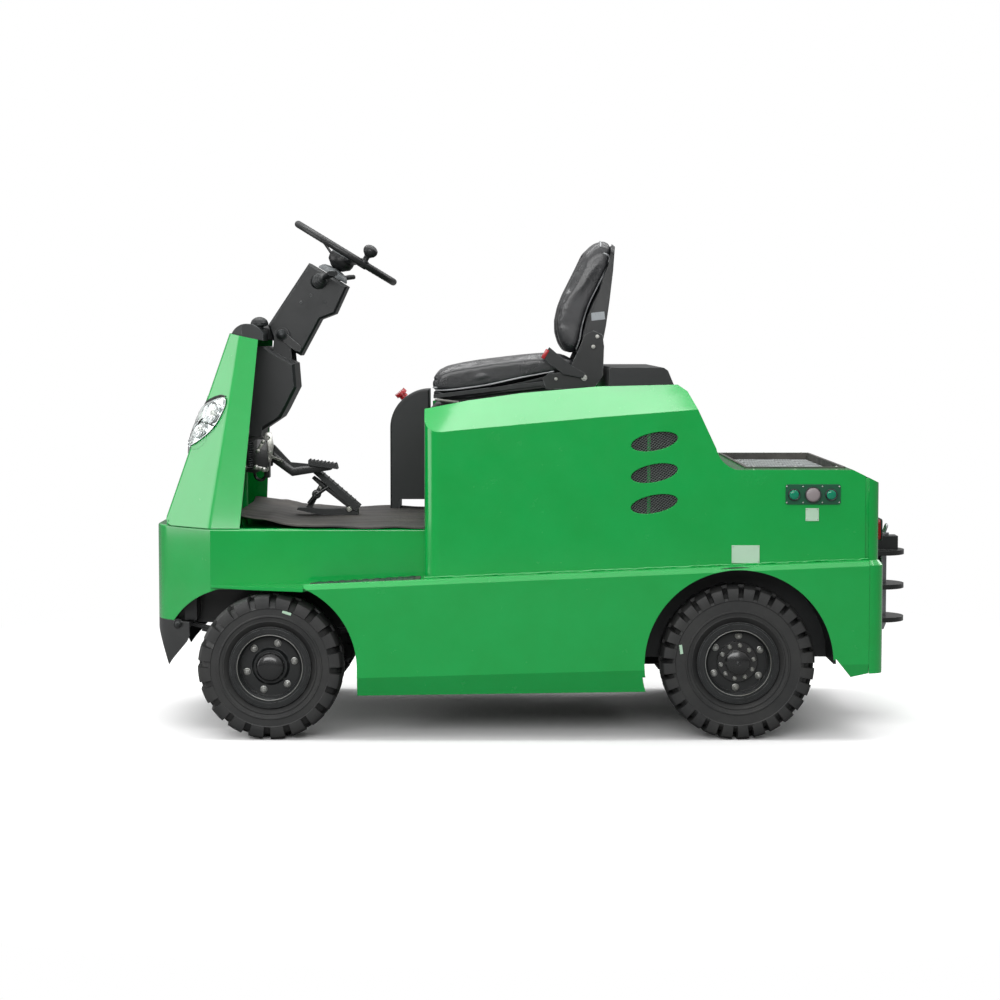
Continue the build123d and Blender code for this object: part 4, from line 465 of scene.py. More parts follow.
# Wheels: row, axle X, radius, width, lugs, lug depth, the disc's depth below the face, radius of the
# bolt circle, first bolt in degrees, place of the blank tag from the axle and its turn in degrees
WHEELS = [
    ("front", -0.811, 0.221, 0.15, 20, 0.013, 0.04, 0.074, 12.8, (0.0525, 0, 0.167), -18),
    ("rear", 0.607, 0.235, 0.138, 28, 0.02, 0.044, 0.079, 27, (-0.173, 0, 0.042), -82),
]
FACE_Y = 0.54
FLANGE = 0.124
BEAD = FLANGE + 0.032
# In parts of the pitch: how far a lug leans over to the edge, and half the shift between the two rows
LUG_LEAN, LUG_TURN = 0.1, 0.25
# Places across one lug and its groove, in parts of the pitch, and whether they are on the lug
LUG_COLUMNS = [(-0.33, 1), (-0.16, 1), (0, 1), (0.16, 1), (0.33, 1), (0.37, 0), (0.5, 0), (0.63, 0)]

for row, axle_x, radius, width, lugs, depth, disc, circle, first_bolt, tag_at, tag_turn in WHEELS:
    half = width / 2
    root = radius - depth
    pitch = 2 * pi / lugs
    # Along and radius of a lug's surface, then of the groove beside it
    tread = [
        (0.006, radius, 0.006, radius - 0.5 * depth),
        (0.35 * half, radius, 0.35 * half, root),
        (half - 0.026, radius - 0.0005, half - 0.034, root),
        (half - 0.011, radius - 0.003, half - 0.026, root - 0.001),
        (half - 0.003, radius - 0.009, half - 0.018, root - 0.006),
        (half, radius - 0.017, half - 0.012, root - 0.013),
        (half, radius - 0.034, half - 0.004, radius - 0.037),
    ]
    top = min(root - 0.024, radius - 0.04)
    # Depth below the face and radius, down the side wall to the rim
    wall = [
        (0, top), (0.0022, top - 0.0025), (0.0022, BEAD + 0.004), (0.0002, BEAD + 0.0015),
        (0.0002, BEAD - 0.0015), (0.0035, BEAD - 0.004), (0.0045, BEAD - 0.012), (0.0022, BEAD - 0.0145),
        (0.0022, BEAD - 0.0165), (0.006, BEAD - 0.0195), (0.0095, FLANGE + 0.005), (0.0135, FLANGE + 0.0012),
        (0.0148, 0.1006),
    ]
    lines = [(*line, LUG_LEAN * (line[0] / half)) for line in tread]
    lines += [(half - inset, r, half - inset, r, LUG_LEAN) for inset, r in wall]

    for side_name, side in SIDES:
        wheel = f"{row}_{side_name}"
        body = f"wheel_{wheel}"
        out = Vector((0, side, 0))
        centre = Vector((axle_x, side * (FACE_Y - half), radius))
        face_mid = centre + out * half
        disc_mid = centre + out * (half - disc)

        tyre = Shape()
        for face in (1, -1):
            rings = []
            for high_v, high, low_v, low, lean in lines:
                ring = []
                for lug in range(lugs):
                    for share, lifted in LUG_COLUMNS:
                        v, r = (high_v, high) if lifted else (low_v, low)
                        angle = pitch * (lug + LUG_TURN * face + share + lean)
                        ring.append(centre + out * (v * face) + spoke(angle) * r)
                rings.append(ring)
            tyre.skin(rings, caps=False)
        tyre.lathe([(radius - 0.5 * depth, -0.009), (radius - 0.001, -0.008), (radius - 0.0003, -0.006),
                    (radius - 0.0003, 0.006), (radius - 0.001, 0.008), (radius - 0.5 * depth, 0.009)],
                   centre, out, 120, closed=True, unit=1)
        make(tyre, f"tyre_{wheel}_lugged", rubber, body, smooth=28, replaces=(f"tyre_{wheel}",))

        # A thin bright zinc ring on the painted rim's edge paints the highlight there
        edge = Shape().lathe([(97.8, -3.2), (98.5, -1.8), (99.8, -1.8), (100.4, -3.2)],
                             face_mid, out, 96, closed=True)
        make(edge, f"rim_highlight_ring_{wheel}", zinc, body)
        ring = Shape()
        for start in (14, 194):
            ring.lathe([(106.5, -3.5), (107.2, -1.2), (118.5, -1.2), (119.2, -3.5)],
                       face_mid, out, 60, radians(start), radians(176), closed=True)
        make(ring, f"side_ring_{wheel}", black_paint, body)

        if row == "front":
            cap = Shape().lathe([(43.6, -24), (43.4, -17), (40.5, -11), (34.5, -6.8),
                                 (25, -4), (13, -2.5), (0, -2)], face_mid, out, 64)
        else:
            cap = Shape().lathe([(37.2, -34), (37.2, -17), (35.2, -8.5), (31, -6.2),
                                 (8, -4.8), (7, -6.2), (0, -3.4)], face_mid, out, 64)
            cap.lathe([(62, -1), (62, 10), (60.5, 11.5), (36, 11.5)], disc_mid, out, 64)
        make(cap, f"hub_cap_{wheel}", hub_gloss, body)

        bolts = Shape()
        collars = Shape()
        for k in range(6):
            spot = disc_mid + spoke(radians(first_bolt + k * 60)) * circle
            collars.lathe([(11.2, 0), (11.2, 2), (10.4, 2.8), (9, 2.8), (8.6, 0)], spot, out, 28, closed=True)
            bolts.hex_bolt(spot, out, 8.8, 7.5, stud=4.6)
        if row == "rear":
            for k in range(10):
                spot = disc_mid + out * 0.0113 + spoke(radians(9 + k * 36)) * 0.0505
                collars.lathe([(6.8, 0), (6.8, 1.4), (6, 1.8), (5, 0)], spot, out, 20, closed=True)
                bolts.hex_bolt(spot, out, 5.2, 4)
        make(bolts, f"wheel_bolts_{wheel}", zinc, body, smooth=30)
        make(collars, f"wheel_collars_{wheel}", zinc, body, smooth=50)

        turn = radians(tag_turn)
        tag = Shape().slab(corners(-0.014, -0.0045, 0.014, 0.0045), face_mid - out * 0.0026 + Vector(tag_at),
                           spoke(turn) * -side, (-sin(turn), 0, cos(turn)), 0.9)
        make(tag, f"tyre_tag_{wheel}", pale_plate, body)

# Headlamps: outline on the cowl's corner, across (to the front and middle) and up from the lamp's centre
LAMP_LINE = curve([
    (-0.037, 0.078), (-0.074, 0.089), (-0.1, 0.088), (-0.1075, 0.066), (-0.1, 0.038), (-0.0885, 0.01),
    (-0.068, -0.017), (-0.036, -0.041), (-0.004, -0.06), (0.03, -0.075), (0.062, -0.086), (0.084, -0.09),
    (0.088, -0.078), (0.076, -0.05), (0.058, -0.02), (0.036, 0.014), (0.012, 0.044), (-0.01, 0.064)],
    4, closed=True)
LAMP_CORE = Vector((-0.026, 0.006))
# Share of the outline's size, and height over the cowl in millimetres, from the edge inwards
LENS_STEPS = [(1, -1.5), (1, 3.5), (0.985, 5.5), (0.93, 8.5), (0.8, 11.5), (0.6, 13.5), (0.4, 14.5), (0.2, 15),
              (0.02, 15.2)]
REFLECTOR_STEPS = [(0.985, 2.8), (0.955, 3), (0.93, 1), (0.8, 0.8), (0.6, 0.8), (0.4, 0.8), (0.2, 0.8),
                   (0.02, 0.8)]
COVER_LIFT = 0.0006
COVER_INNER_Y = 0.148

for side_name, side in SIDES:
    lamp = f"headlamp_{side_name}"
    lamp_out = Vector((-0.68, side * 0.68, 0.27)).normalized()
    lamp_side = Vector((-1, -side, 0)).normalized()
    lamp_up = lamp_out.cross(lamp_side)
    lamp_up *= 1 if lamp_up.z > 0 else -1
    lamp_mid = Vector((-1.058, side * 0.247, 0.947))

    def on_cowl(spot, rise):
        """The cowl's surface under a point of the lamp, raised by rise along the lamp's axis."""
        start = lamp_mid + lamp_side * spot[0] + lamp_up * spot[1] + lamp_out * 0.25
        return touch(start, -lamp_out) + lamp_out * rise

    def lamp_skin(steps):
        return Shape().skin([[on_cowl(LAMP_CORE + (p - LAMP_CORE) * share, rise * MM) for p in LAMP_LINE]
                             for share, rise in steps], caps=False)

    cover_glass = make(lamp_skin(LENS_STEPS), f"{lamp}_lens", lamp_glass, smooth=60)
    wall = cover_glass.modifiers.new("wall", "SOLIDIFY")
    wall.thickness, wall.offset = 0.002, 1.0
    make(lamp_skin(REFLECTOR_STEPS), f"{lamp}_reflector", lamp_chrome, smooth=50)

    bowls = Shape()
    bulbs = Shape()
    for across, up, size in ((-0.056, 0.04, 34), (-0.012, -0.014, 30), (0.036, -0.056, 16)):
        at = on_cowl((across, up), 0)
        bowls.lathe([(size, 0.8), (size * 1.02, 6.4), (size * 0.97, 8), (size * 0.92, 7.2), (size * 0.8, 4.8),
                     (size * 0.6, 3), (size * 0.35, 2), (size * 0.2, 1.8)], at, lamp_out, 44, caps=False)
        for angle in turns(10):
            reach = (lamp_side * cos(angle) + lamp_up * sin(angle)) * (size * MM)
            bowls.tube([at + reach * 0.34 + lamp_out * 0.0026, at + reach * 0.88 + lamp_out * 0.007], 0.9, 5)
        bulbs.lathe([(size * 0.24, 1.2), (size * 0.26, 5), (size * 0.2, 8), (size * 0.1, 9.4), (0, 9.8)],
                    at, lamp_out, 24)
    make(bowls, f"{lamp}_bowls", lamp_chrome, smooth=60)
    make(bulbs, f"{lamp}_bulbs", lamp_bulb, smooth=60)

    # Painted cover over the lamp body's edge where it comes round to the front face
    low, high = (touch((-2, side * 0.12, z), REARWARD) for z in (0.9, 1.05))
    cover = []
    for k in range(17):
        z = 0.915 + 0.12 * k / 16
        x = low.x + (high.x - low.x) * (z - low.z) / (high.z - low.z)
        hits = [(y / 1000, touch((-2, side * y / 1000, z), REARWARD)) for y in range(140, 260)]
        reach = max(y for y, hit in hits if hit and hit.x < x + COVER_LIFT) - 0.0005 - COVER_INNER_Y
        cover.append([(x - COVER_LIFT, side * (COVER_INNER_Y + reach * j / 12), z) for j in range(13)])
    sheet = Shape().skin([row + [(x + COVER_LIFT, y, z) for x, y, z in reversed(row)] for row in cover])
    make(sheet, f"{lamp}_cover", green, smooth=30)

    # A dark rubber tube along the lamp's top edge paints the shadow in the slot over the lens
    shadow_brow = Shape().tube([on_cowl(spot, 0.0012) for spot in (
        (0.004, 0.055), (-0.008, 0.069), (-0.022, 0.079), (-0.048, 0.089), (-0.074, 0.0955),
        (-0.098, 0.0945))],
        [1.8, 4, 5.2, 5.4, 4.6, 1.6])
    make(shadow_brow, f"{lamp}_brow", seal_rubber, smooth=60)

# Body trim: the seam's bead along each side, from the step to the rear panel, and the step's grips
SEAM_LOW, SEAM_HIGH = (-0.3433, 0.4935), (0.998, 0.5507)
for side_name, side in SIDES:
    path = []
    for k in range(231):
        x = -0.3425 + 1.3395 * k / 230
        z = SEAM_LOW[1] + (SEAM_HIGH[1] - SEAM_LOW[1]) * (x - SEAM_LOW[0]) / (SEAM_HIGH[0] - SEAM_LOW[0])
        ripple = 0.0011 * sin(x * 61) * sin(x * 23 + 1) + 0.0005 * sin(x * 233)
        path.append((x, side * (0.5364 + ripple * 0.4), z + 0.0012 + ripple))
    bead = Shape().tube(path, [2.6 + 0.5 * sin(k * 0.61) for k in range(231)])
    make(bead, f"seam_bead_{side_name}", green, smooth=70)

    grip = Shape()
    for i in range(9):
        for j in range(3):
            x = -0.666 + i * 0.0355 + (0.0178 if j == 1 else 0)
            base = touch((x, side * (0.462 + j * 0.029), 0.6), DOWN)
            if base and x <= -0.365:
                grip.lathe([(12.5, -1), (12, 0.5), (9.8, 2.6), (7.4, 3),
                            (6.2, 2.2), (5.8, -1)], base, (-0.066, 0, 1), 20, caps=False)
    make(grip, f"step_grip_{side_name}", tread_green, smooth=60)

# Corner strips that close the side panels to the rear panel
for (side_name, side), y in zip(SIDES, (-0.529, 0.5312)):
    outline = [(0.9835, 0.5515), (1, 0.5515), (1, 0.7955), (0.9875, 0.797), (0.9835, 0.797)]
    make(Shape().upright(outline, y, 2.2), f"rear_strip_{side_name}", green, bevel=0.6)

# Vents: fine wire mesh over a hollow painted near-black as the shade inside, with a strut behind it
VENT_TILT = radians(11)
VENT_U, VENT_W = spoke(VENT_TILT), Vector((-sin(VENT_TILT), 0, cos(VENT_TILT)))
MESH_A, MESH_B = 0.0745, 0.0305
for side_name, side in SIDES:
    wires = Shape()
    hollows = Shape()
    rims = Shape()
    for z in (0.906, 0.811, 0.718):
        centre = Vector((0.351, side * 0.5285, z))

        def oval(outward, a, b, count):
            """Points of an ellipse in the vent's plane, moved outward from its middle."""
            middle = centre + Vector((0, side * outward, 0))
            return [middle + VENT_U * (a * cos(angle)) + VENT_W * (b * sin(angle)) for angle in turns(count)]

        for slope in (radians(34), radians(-34)):
            along = Vector((cos(slope), sin(slope)))
            across = Vector((-sin(slope), cos(slope)))
            lift = Vector((0, side * (0.0005 if slope > 0 else -0.0005), 0))
            for k in range(-11, 12):
                shift = k * 0.0066
                # Where the wire's line crosses the ellipse
                qa = (along.x / MESH_A) ** 2 + (along.y / MESH_B) ** 2
                qb = 2 * shift * (along.x * across.x / MESH_A ** 2 + along.y * across.y / MESH_B ** 2)
                qc = shift ** 2 * ((across.x / MESH_A) ** 2 + (across.y / MESH_B) ** 2) - 1
                inside = qb * qb - 4 * qa * qc
                if inside > 0:
                    ends = [along * ((-qb + s * sqrt(inside)) / (2 * qa)) + across * shift for s in (-1, 1)]
                    wires.tube([centre + VENT_U * end.x + VENT_W * end.y + lift for end in ends], 0.9, 4)
        rims.tube(oval(0.0035, 0.0728, 0.0288, 56), 1.6, closed=True)
        # The hollow's near-black colour paints the shade inside the vent
        hollows.skin([oval(-0.012, 0.082, 0.038, 40), oval(-0.03, 0.07, 0.03, 40)])
    make(wires, f"vent_wires_{side_name}", vent_wire, smooth=50, replaces=("vent_mesh",) if side < 0 else ())
    make(hollows, f"vent_hollows_{side_name}", painted_shade_black)
    make(rims, f"vent_rims_{side_name}", green, smooth=70)
    strut = Shape().upright(corners(0.33, 0.668, 0.34, 0.956), side * 0.5205, 1.2)
    make(strut, f"vent_strut_{side_name}", green)

# Load tray: ribbed mat with its screws
tray = Shape()
for k in range(32):
    x = 0.6455 + k * 0.00885
    tray.level(corners(x, -0.424, x + 0.0052, 0.424), 0.8012, 2.4)
tray.level(corners(0.642, -0.428, 0.931, 0.428), 0.7992, 2.2)
make(tray, "tray_mat_ribbed", tray_mat, smooth=30)
screws = Shape()
for x in (0.66, 0.7865, 0.913):
    for y in (-0.4345, 0.4345):
        screws.lathe([(4.2, -0.2), (4, 1.2), (2.6, 2.2), (0, 2.4)], touch((x, y, 0.9), DOWN), UP, 16)

# Button panel: two green lamps and a plain grey button, each in a raised ring, then the panels' screws
rings = Shape()
for x, r, material in ((0.771, 14.5, lamp_green), (0.828, 21, button_grey), (0.883, 14.5, lamp_green)):
    centre = Vector((x, -0.545, 0.7465))
    rings.lathe([(r + 3.5, -4), (r + 3.5, 2.2), (r + 2.2, 3.6), (r + 0.4, 3), (r + 0.2, -4)],
                centre, LEFT, 40, closed=True)
    face = Shape().lathe([(r, -4), (r, 2.2), (r * 0.94, 4), (r * 0.7, 5.2), (r * 0.35, 5.8), (0, 6)],
                         centre, LEFT, 40)
    make(face, f"button_{round(x * 1000)}", material, smooth=60)
make(rings, "button_rings", black_plastic, smooth=50)
for x in (0.75, 0.799, 0.857, 0.908):
    for z in (0.7225, 0.7705):
        screws.lathe([(2.6, -0.2), (2.4, 0.8), (1.4, 1.4), (0, 1.5)], touch((x, -0.7, z), RIGHT), LEFT, 12)
for left, right, low, high in ((0.589, 0.665, 0.543, 0.589), (0.811, 0.843, 0.671, 0.702)):
    for x, z in ((left, low), (right, low), (left, high), (right, high)):
        screws.lathe([(1.8, -0.2), (1.6, 0.7), (0, 1)], (x, -0.5368, z), LEFT, 12)

# Strip that closes the slot between the cowl's front face and the ledge under it
foot = Shape().level([(-1.153, -0.286), (-1.147, -0.292), (-1.147, 0.292), (-1.153, 0.286)], 0.6352, 16.5)
make(foot, "cowl_foot", green, bevel=0.8)

# Floor mat: laid sheet, wavy along its near edge and turned up towards the cowl, where its toe goes on
MAT_THICK = 0.005
MAT_FRONT = -0.851
MAT_TOE = -0.944


def mat_height(x, y):
    """Underside of the mat."""
    near = smooth_step(abs(y), 0.3, 0.44)
    z = 0.6356 + 0.0135 * (1 - smooth_step(x, MAT_FRONT, -0.735)) ** 1.6
    z += 0.0165 * (1 - smooth_step(x, -0.9, -0.64)) * near
    wave = 0.0042 * (0.5 + 0.5 * sin(x * 27 + 1.1 + y * 3)) * near
    z += wave * smooth_step(x, -0.8, -0.7) * (1 - smooth_step(x, -0.46, -0.36))
    z += 0.0016 * (0.5 + 0.5 * sin(x * 19 + y * 9)) * (1 - smooth_step(x, -0.44, -0.36))
    return z + 0.012 * smooth_step(-x, -MAT_FRONT, -MAT_TOE)


def mat_sheet(from_x, to_x, steps):
    """Part of the mat, over its whole width."""
    rings = []
    for i in range(steps + 1):
        x = from_x + (to_x - from_x) * i / steps
        reach = 0.441 - 0.04 * (1 - smooth_step(x, MAT_TOE, -0.66))
        under = [(x, y, mat_height(x, y)) for y in (reach * (j / 60 - 1) for j in range(121))]
        over = [(x, y, z + MAT_THICK + 0.0004 * sin(y * 900)) for x, y, z in under]
        rings.append(over + under[::-1])
    return Shape().skin(rings)


make(mat_sheet(MAT_FRONT, -0.346, 96), "floor_mat_sheet", mat_black, smooth=50, replaces=("floor_mat",))
make(mat_sheet(MAT_TOE, MAT_FRONT, 20), "floor_mat_toe", mat_black, smooth=50)

# Pedals: teeth on the brake pad, its arm, ribs on the treadle, pins and washers
teeth = Shape()
for k in range(8):
    x = -0.7235 + k * 0.0118
    for y in (-0.07, -0.037):
        place = touch((x, y + 0.012, 0.87), DOWN)
        if place:
            teeth.level([(x - 0.0024, y), (x + 0.0024, y), (x + 0.0014, y + 0.029), (x - 0.0014, y + 0.029)],
                        place.z - 0.0008, 4.2)
make(teeth, "brake_pad_teeth", seal_rubber, bevel=0.6, smooth=35)
arm_pixels = ((270.5, 446.8), (293.8, 465.6), (311.0, 463.6), (333.5, 466.2), (331.5, 468.6), (313.3, 471.5),
              (292.5, 474.8), (268.9, 457.6))
arm = Shape().upright([photo_point(px, py, -0.052) for px, py in arm_pixels], -0.029, 22)
make(arm, "brake_arm", black_paint, bevel=2.5, smooth=40)
ribs = Shape()
for k in range(9):
    x = -0.7 + k * 0.0142
    place = touch((x, 0.06, 0.9), DOWN)
    if place:
        ribs.tube([(x, 0.028, place.z + 0.0008), (x, 0.092, place.z + 0.0008)], 2.2)
make(ribs, "treadle_ribs", seal_rubber, smooth=60)
pins = Shape()
x, z = photo_point(349.5, 507.5, 0.022)
pins.lathe([(5.2, -84), (5.2, 1.5), (3.5, 2.5), (0, 3)], (x, 0.019, z), LEFT, 20)
pins.hex_bolt((x, 0.0205, z), LEFT, 5.5, 4, washer=8.5)
x, z = photo_point(321, 486, 0.022)
pins.hex_bolt((x, 0.0455, z), LEFT, 5, 4, washer=7.5)
bracket = Shape().upright([(-0.868, 0.815), (-0.846, 0.822), (-0.838, 0.872), (-0.846, 0.915),
                           (-0.868, 0.915)], -0.0645, 2.6)
make(bracket, "brake_bracket_plate", zinc, bevel=0.8)
for x, z in ((-0.857, 0.828), (-0.852, 0.851), (-0.857, 0.898)):
    pins.hex_bolt((x, -0.067, z), LEFT, 5, 4, washer=7.5)
for x, z in ((-0.885, 0.812), (-0.872, 0.806), (-0.862, 0.798)):
    place = touch((x, -0.3, z), RIGHT)
    if place and abs(place.y) < 0.12:
        pins.hex_bolt(place, LEFT, 6.2, 5, washer=9.2)
coil = Shape().coil((-0.846, -0.0755, 0.838), (0.036, 0, -0.014), (0, 5.2, 0), (0, 0, 5.2), 0.62, 110, 1)
make(coil, "pedal_spring", zinc, smooth=70)

# Column: tilt boss, screws, and under the wheel its hub cover and the collar
boss = Shape().lathe([(17.5, 0), (17.2, 4), (12, 5.2), (10, 8.5), (8.5, 9.8),
                      (0, 10.2)], (-0.808, -0.1004, 1.226), LEFT, 32)
make(boss, "tilt_boss", steel_dark, "column", smooth=50)
for x, z in ((-0.748, 1.33), (-0.69, 1.403), (-0.716, 1.352), (-0.672, 1.33)):
    place = touch((x, -0.4, z), RIGHT)
    if place and abs(place.y + 0.072) < 0.01:
        screw = Shape().lathe([(4.8, -0.4), (4.6, 1), (3, 1.2), (2.6, -0.4)], place, LEFT, 20, closed=True)
        make(screw, f"column_screw_{round(-x * 1000)}", steel_dark, "column", smooth=50)

WHEEL_MID = Vector((-0.609, 0, 1.488))
WHEEL_LEAN = radians(31.3)
WHEEL_AXIS = Vector((sin(WHEEL_LEAN), 0, cos(WHEEL_LEAN)))
WHEEL_ACROSS = Vector((WHEEL_AXIS.z, 0, -WHEEL_AXIS.x))
cover = Shape().lathe([
    (41.5, -14), (41.2, -6), (38, -4.5), (28.5, -4), (27.5, -5.5), (26.2, -5.5),
    (25.2, -3.5), (18, -1.5), (8, -0.6), (0, -0.4)], WHEEL_MID, WHEEL_AXIS)
make(cover, "wheel_hub_cover", grey_plastic, "steering_wheel", smooth=45)
collar = Shape().lathe([(52, -84), (52, -79), (46, -70), (38, -64), (22, -60),
                        (20.5, -84)], WHEEL_MID, WHEEL_AXIS, closed=True)
make(collar, "column_collar", grey_plastic, "column", smooth=45)

# Emergency stop: grip grooves round the mushroom
stop_axis = Vector((-cos(radians(50)), 0, sin(radians(50))))
low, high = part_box("emergency_stop")
ridges = Shape()
for angle in turns(18):
    reach = Vector(RIGHT) * cos(angle) + stop_axis.cross(Vector(RIGHT)) * sin(angle)
    spot = (low + high) / 2 + stop_axis * 0.0105 + reach * 0.0186
    ridges.tube([spot - stop_axis * 0.0035, spot + stop_axis * 0.0035], 1.2, 6)
make(ridges, "stop_grip", red_plastic, smooth=60)

# Seat fittings: bracket bolts, belt button, suspension spring
bolts = Shape()
for px, py, size in ((597, 336, 4.2), (593, 346, 4.2), (584, 377, 6.4), (556, 378, 3.6)):
    for out, y in ((LEFT, -0.2413), (RIGHT, 0.2413)):
        x, z = photo_point(px, py, -0.2413)
        bolts.hex_bolt((x, y, z), out, size, 4.2, washer=size * 1.45)
make(bolts, "seat_bolts", zinc, "seat", smooth=30)
x, z = photo_point(545.5, 353.5, -0.25)
tilt = radians(-31)
button = Shape().slab(corners(-0.0075, -0.016, 0.0045, 0.016), (x, -0.2425, z), spoke(tilt),
                      (-sin(tilt), 0, cos(tilt)), 16.5)
make(button, "belt_button", red_plastic, "seat", bevel=2)
spring = Shape().coil((-0.318, -0.24, 1.0245), (0.075, 0, -0.009), (0, 4.2, 0), (0, 0, 4.2), 0.72, 200, 1.1)
make(spring, "seat_spring", zinc, "seat", smooth=70)

# Spring eye bolts at the nose, and the hitch plate's bolts
bolts = Shape()
for y, inward, outward in ((-1, RIGHT, LEFT), (1, LEFT, RIGHT)):
    bolts.hex_bolt(touch((-1.116, y, 0.328), inward), outward, 10.5, 7, washer=16, stud=6)
make(bolts, "spring_eye_bolts", black_paint, smooth=30)
make(pins, "chassis_bolts", zinc, smooth=30)
bolts = Shape()
for y in (-0.103, 0.103):
    for z in (0.285, 0.365, 0.475, 0.565):
        place = touch((1.4, y, z), (-1, 0, 0))
        if place:
            bolts.hex_bolt(place, REARWARD, 9.5, 6.5, washer=14, stud=5)
make(bolts, "hitch_bolts", black_paint, smooth=30)
make(screws, "panel_screws", zinc, smooth=50)

# Tail lamps: ribbed red lenses in black frames
lens_ribs = Shape()
frames = Shape()
low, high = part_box("tail_lamps")
for y0, y1 in ((-0.475, -0.375), (0.375, 0.475)):
    for k in range(15):
        z = low.z + 0.006 + k * (high.z - low.z - 0.012) / 14
        lens_ribs.tube([(high.x - 0.0006, y0 + 0.006, z), (high.x - 0.0006, y1 - 0.006, z)], 1.5, 6)
    loop = [Vector((high.x - 0.001, y, z)) for y, z in corners(y0, low.z, y1, high.z)]
    loop = [a.lerp(b, t) for a, b in zip(loop, loop[1:] + loop[:1]) for t in (0.06, 0.5, 0.94)]
    frames.tube(loop, 2.8, 6, closed=True)
make(lens_ribs, "tail_lens_ribs", lamp_red, smooth=60)
make(frames, "tail_lamp_frames", black_plastic, smooth=60)

# Seat
SEAT_SIDE = -0.235
PAD_HALF = 0.23
PAD_VOXEL = 0.0065
PIPING = 2.6
PIPING_LIFT = 0.0006


def outline_points(pixels):
    return [Vector(photo_point(px, py, SEAT_SIDE)) for px, py in pixels]


def swept(outline, middle, half_width, stations, rim, squeeze, shift):
    """Closed form: a side outline carried across the seat, drawn in towards its middle over the last rim
    at both ends, and moved at each station by shift(point, y)."""
    rings = []
    for k in range(stations):
        y = half_width * sin((-1 + 2 * k / (stations - 1)) * pi / 2)
        edge = max(0.0, (abs(y) - (half_width - rim)) / rim)
        size = 1 - squeeze * (1 - sqrt(max(0.0, 1 - edge * edge)))
        rings.append([(x, y, z) for x, z in (shift(middle + (p - middle) * size, y) for p in outline)])
    return Shape().skin(rings)


def evaluated(thing):
    return thing.evaluated_get(bpy.context.evaluated_depsgraph_get())


def puffed(form, name, cap):
    """The form remeshed, blown up a little as cloth with no gravity, its moves capped, subdivided once."""
    draft = put(f"{name}_form", mesh_of(form, f"{name}_form"))
    remesh = draft.modifiers.new("remesh", "REMESH")
    remesh.mode, remesh.voxel_size = "VOXEL", PAD_VOXEL
    even = draft.modifiers.new("even", "SMOOTH")
    even.factor, even.iterations = 0.5, 3
    fine = bpy.data.meshes.new_from_object(evaluated(draft))
    draft.modifiers.clear()
    draft.data = fine
    start = [v.co.copy() for v in fine.vertices]
    cloth = draft.modifiers.new("cloth", "CLOTH")
    cloth.settings.use_pressure = True
    cloth.settings.uniform_pressure_force = 4.0
    cloth.settings.effector_weights.gravity = 0
    cloth.settings.quality = 5
    cloth.point_cache.frame_start, cloth.point_cache.frame_end = 1, 20
    for number in range(1, 21):
        bpy.context.scene.frame_set(number)
    ends = [v.co.copy() for v in evaluated(draft).to_mesh().vertices]
    draft.modifiers.clear()
    bpy.context.scene.frame_set(1)
    for vertex, first, last in zip(fine.vertices, start, ends):
        move = last - first
        if move.length > cap:
            move *= cap / move.length
        vertex.co = first + move
    smoother = draft.modifiers.new("finer", "SUBSURF")
    smoother.levels = smoother.render_levels = 1
    done = bpy.data.meshes.new_from_object(evaluated(draft))
    bpy.data.objects.remove(draft)
    done.name = name
    return done


def sewn_pad(name, outline, shift, cap, grooves, node):
    """A pad in place of a CAD solid, with seams pressed in. Each groove gives a point's distance from its
    seam, or None, then its width and depth. Returns a tree to lay piping on."""
    middle = sum(outline, Vector((0, 0))) / len(outline)
    mesh = puffed(swept(outline, middle, PAD_HALF, 29, 0.022, 0.2, shift), name, cap)
    normals = [v.normal.copy() for v in mesh.vertices]
    for vertex, normal in zip(mesh.vertices, normals):
        for distance, width, depth in grooves:
            d = distance(vertex.co, normal)
            if d is not None and d < 3 * width:
                vertex.co -= normal * depth * exp(-(d / width) ** 2)
    finish_piece(mesh, name, seat_vinyl, "seat", (node,))
    return ray_tree([mesh])


def piping(tree, path, direction):
    """Points of a line dropped onto a pad along direction."""
    places = [touch(point, direction, tree) for point in path]
    return [place - Vector(direction) * PIPING_LIFT for place in places if place]


# Cushion: raised bolsters at both sides, the middle lower, the front rolled down
def cushion_shift(p, y):
    middle = 1 - smooth_step(abs(y), 0.095, 0.17)
    high = smooth_step(p.y, 1.08, 1.13)
    return p.x - 0.006 * (1 - (abs(y) / 0.235) ** 2) * (1 if p.x < -0.25 else 0), p.y - 0.01 * middle * high


cushion_line = outline_points([
    (432.5, 389), (431.5, 383), (433, 376), (438, 371.5), (448, 368.5), (462, 365.5), (480, 362.5),
    (500, 360), (522, 357.5), (545, 355.5), (565, 356), (577, 360), (577, 367), (560, 371), (538, 375),
    (514, 380.5), (490, 385.5), (465, 389), (445, 391)])
CUSHION_SEAM = 0.146
CUSHION_CHANNELS = (-0.235, -0.15, -0.065, 0.02)
cushion_tree = sewn_pad("seat_cushion_pad", cushion_line, cushion_shift, 0.009, [
    (lambda v, n: abs(abs(v.y) - CUSHION_SEAM) if n.z > 0.2 and v.x < 0.1 else None, 0.0042, 0.005),
    (lambda v, n: min(abs(v.x - k) for k in CUSHION_CHANNELS)
     if n.z > 0.5 and abs(v.y) < CUSHION_SEAM else None, 0.005, 0.0042),
    (lambda v, n: abs(v.z - 1.086) if n.x < -0.5 and abs(v.y) < 0.225 else None, 0.0036, 0.003),
], "seat_cushion")
trim = Shape()
welt = outline_points([(433, 388.5), (440, 389.5), (455, 388.5), (474, 386), (490, 383.5), (506, 380),
                       (522, 376.5), (538, 373.5), (554, 370.5)])
for side in (-1, 1):
    line = curve([(p.x, side * 0.3, p.y) for p in welt], 6)
    trim.tube(piping(cushion_tree, line, (0, -side, 0)), PIPING)
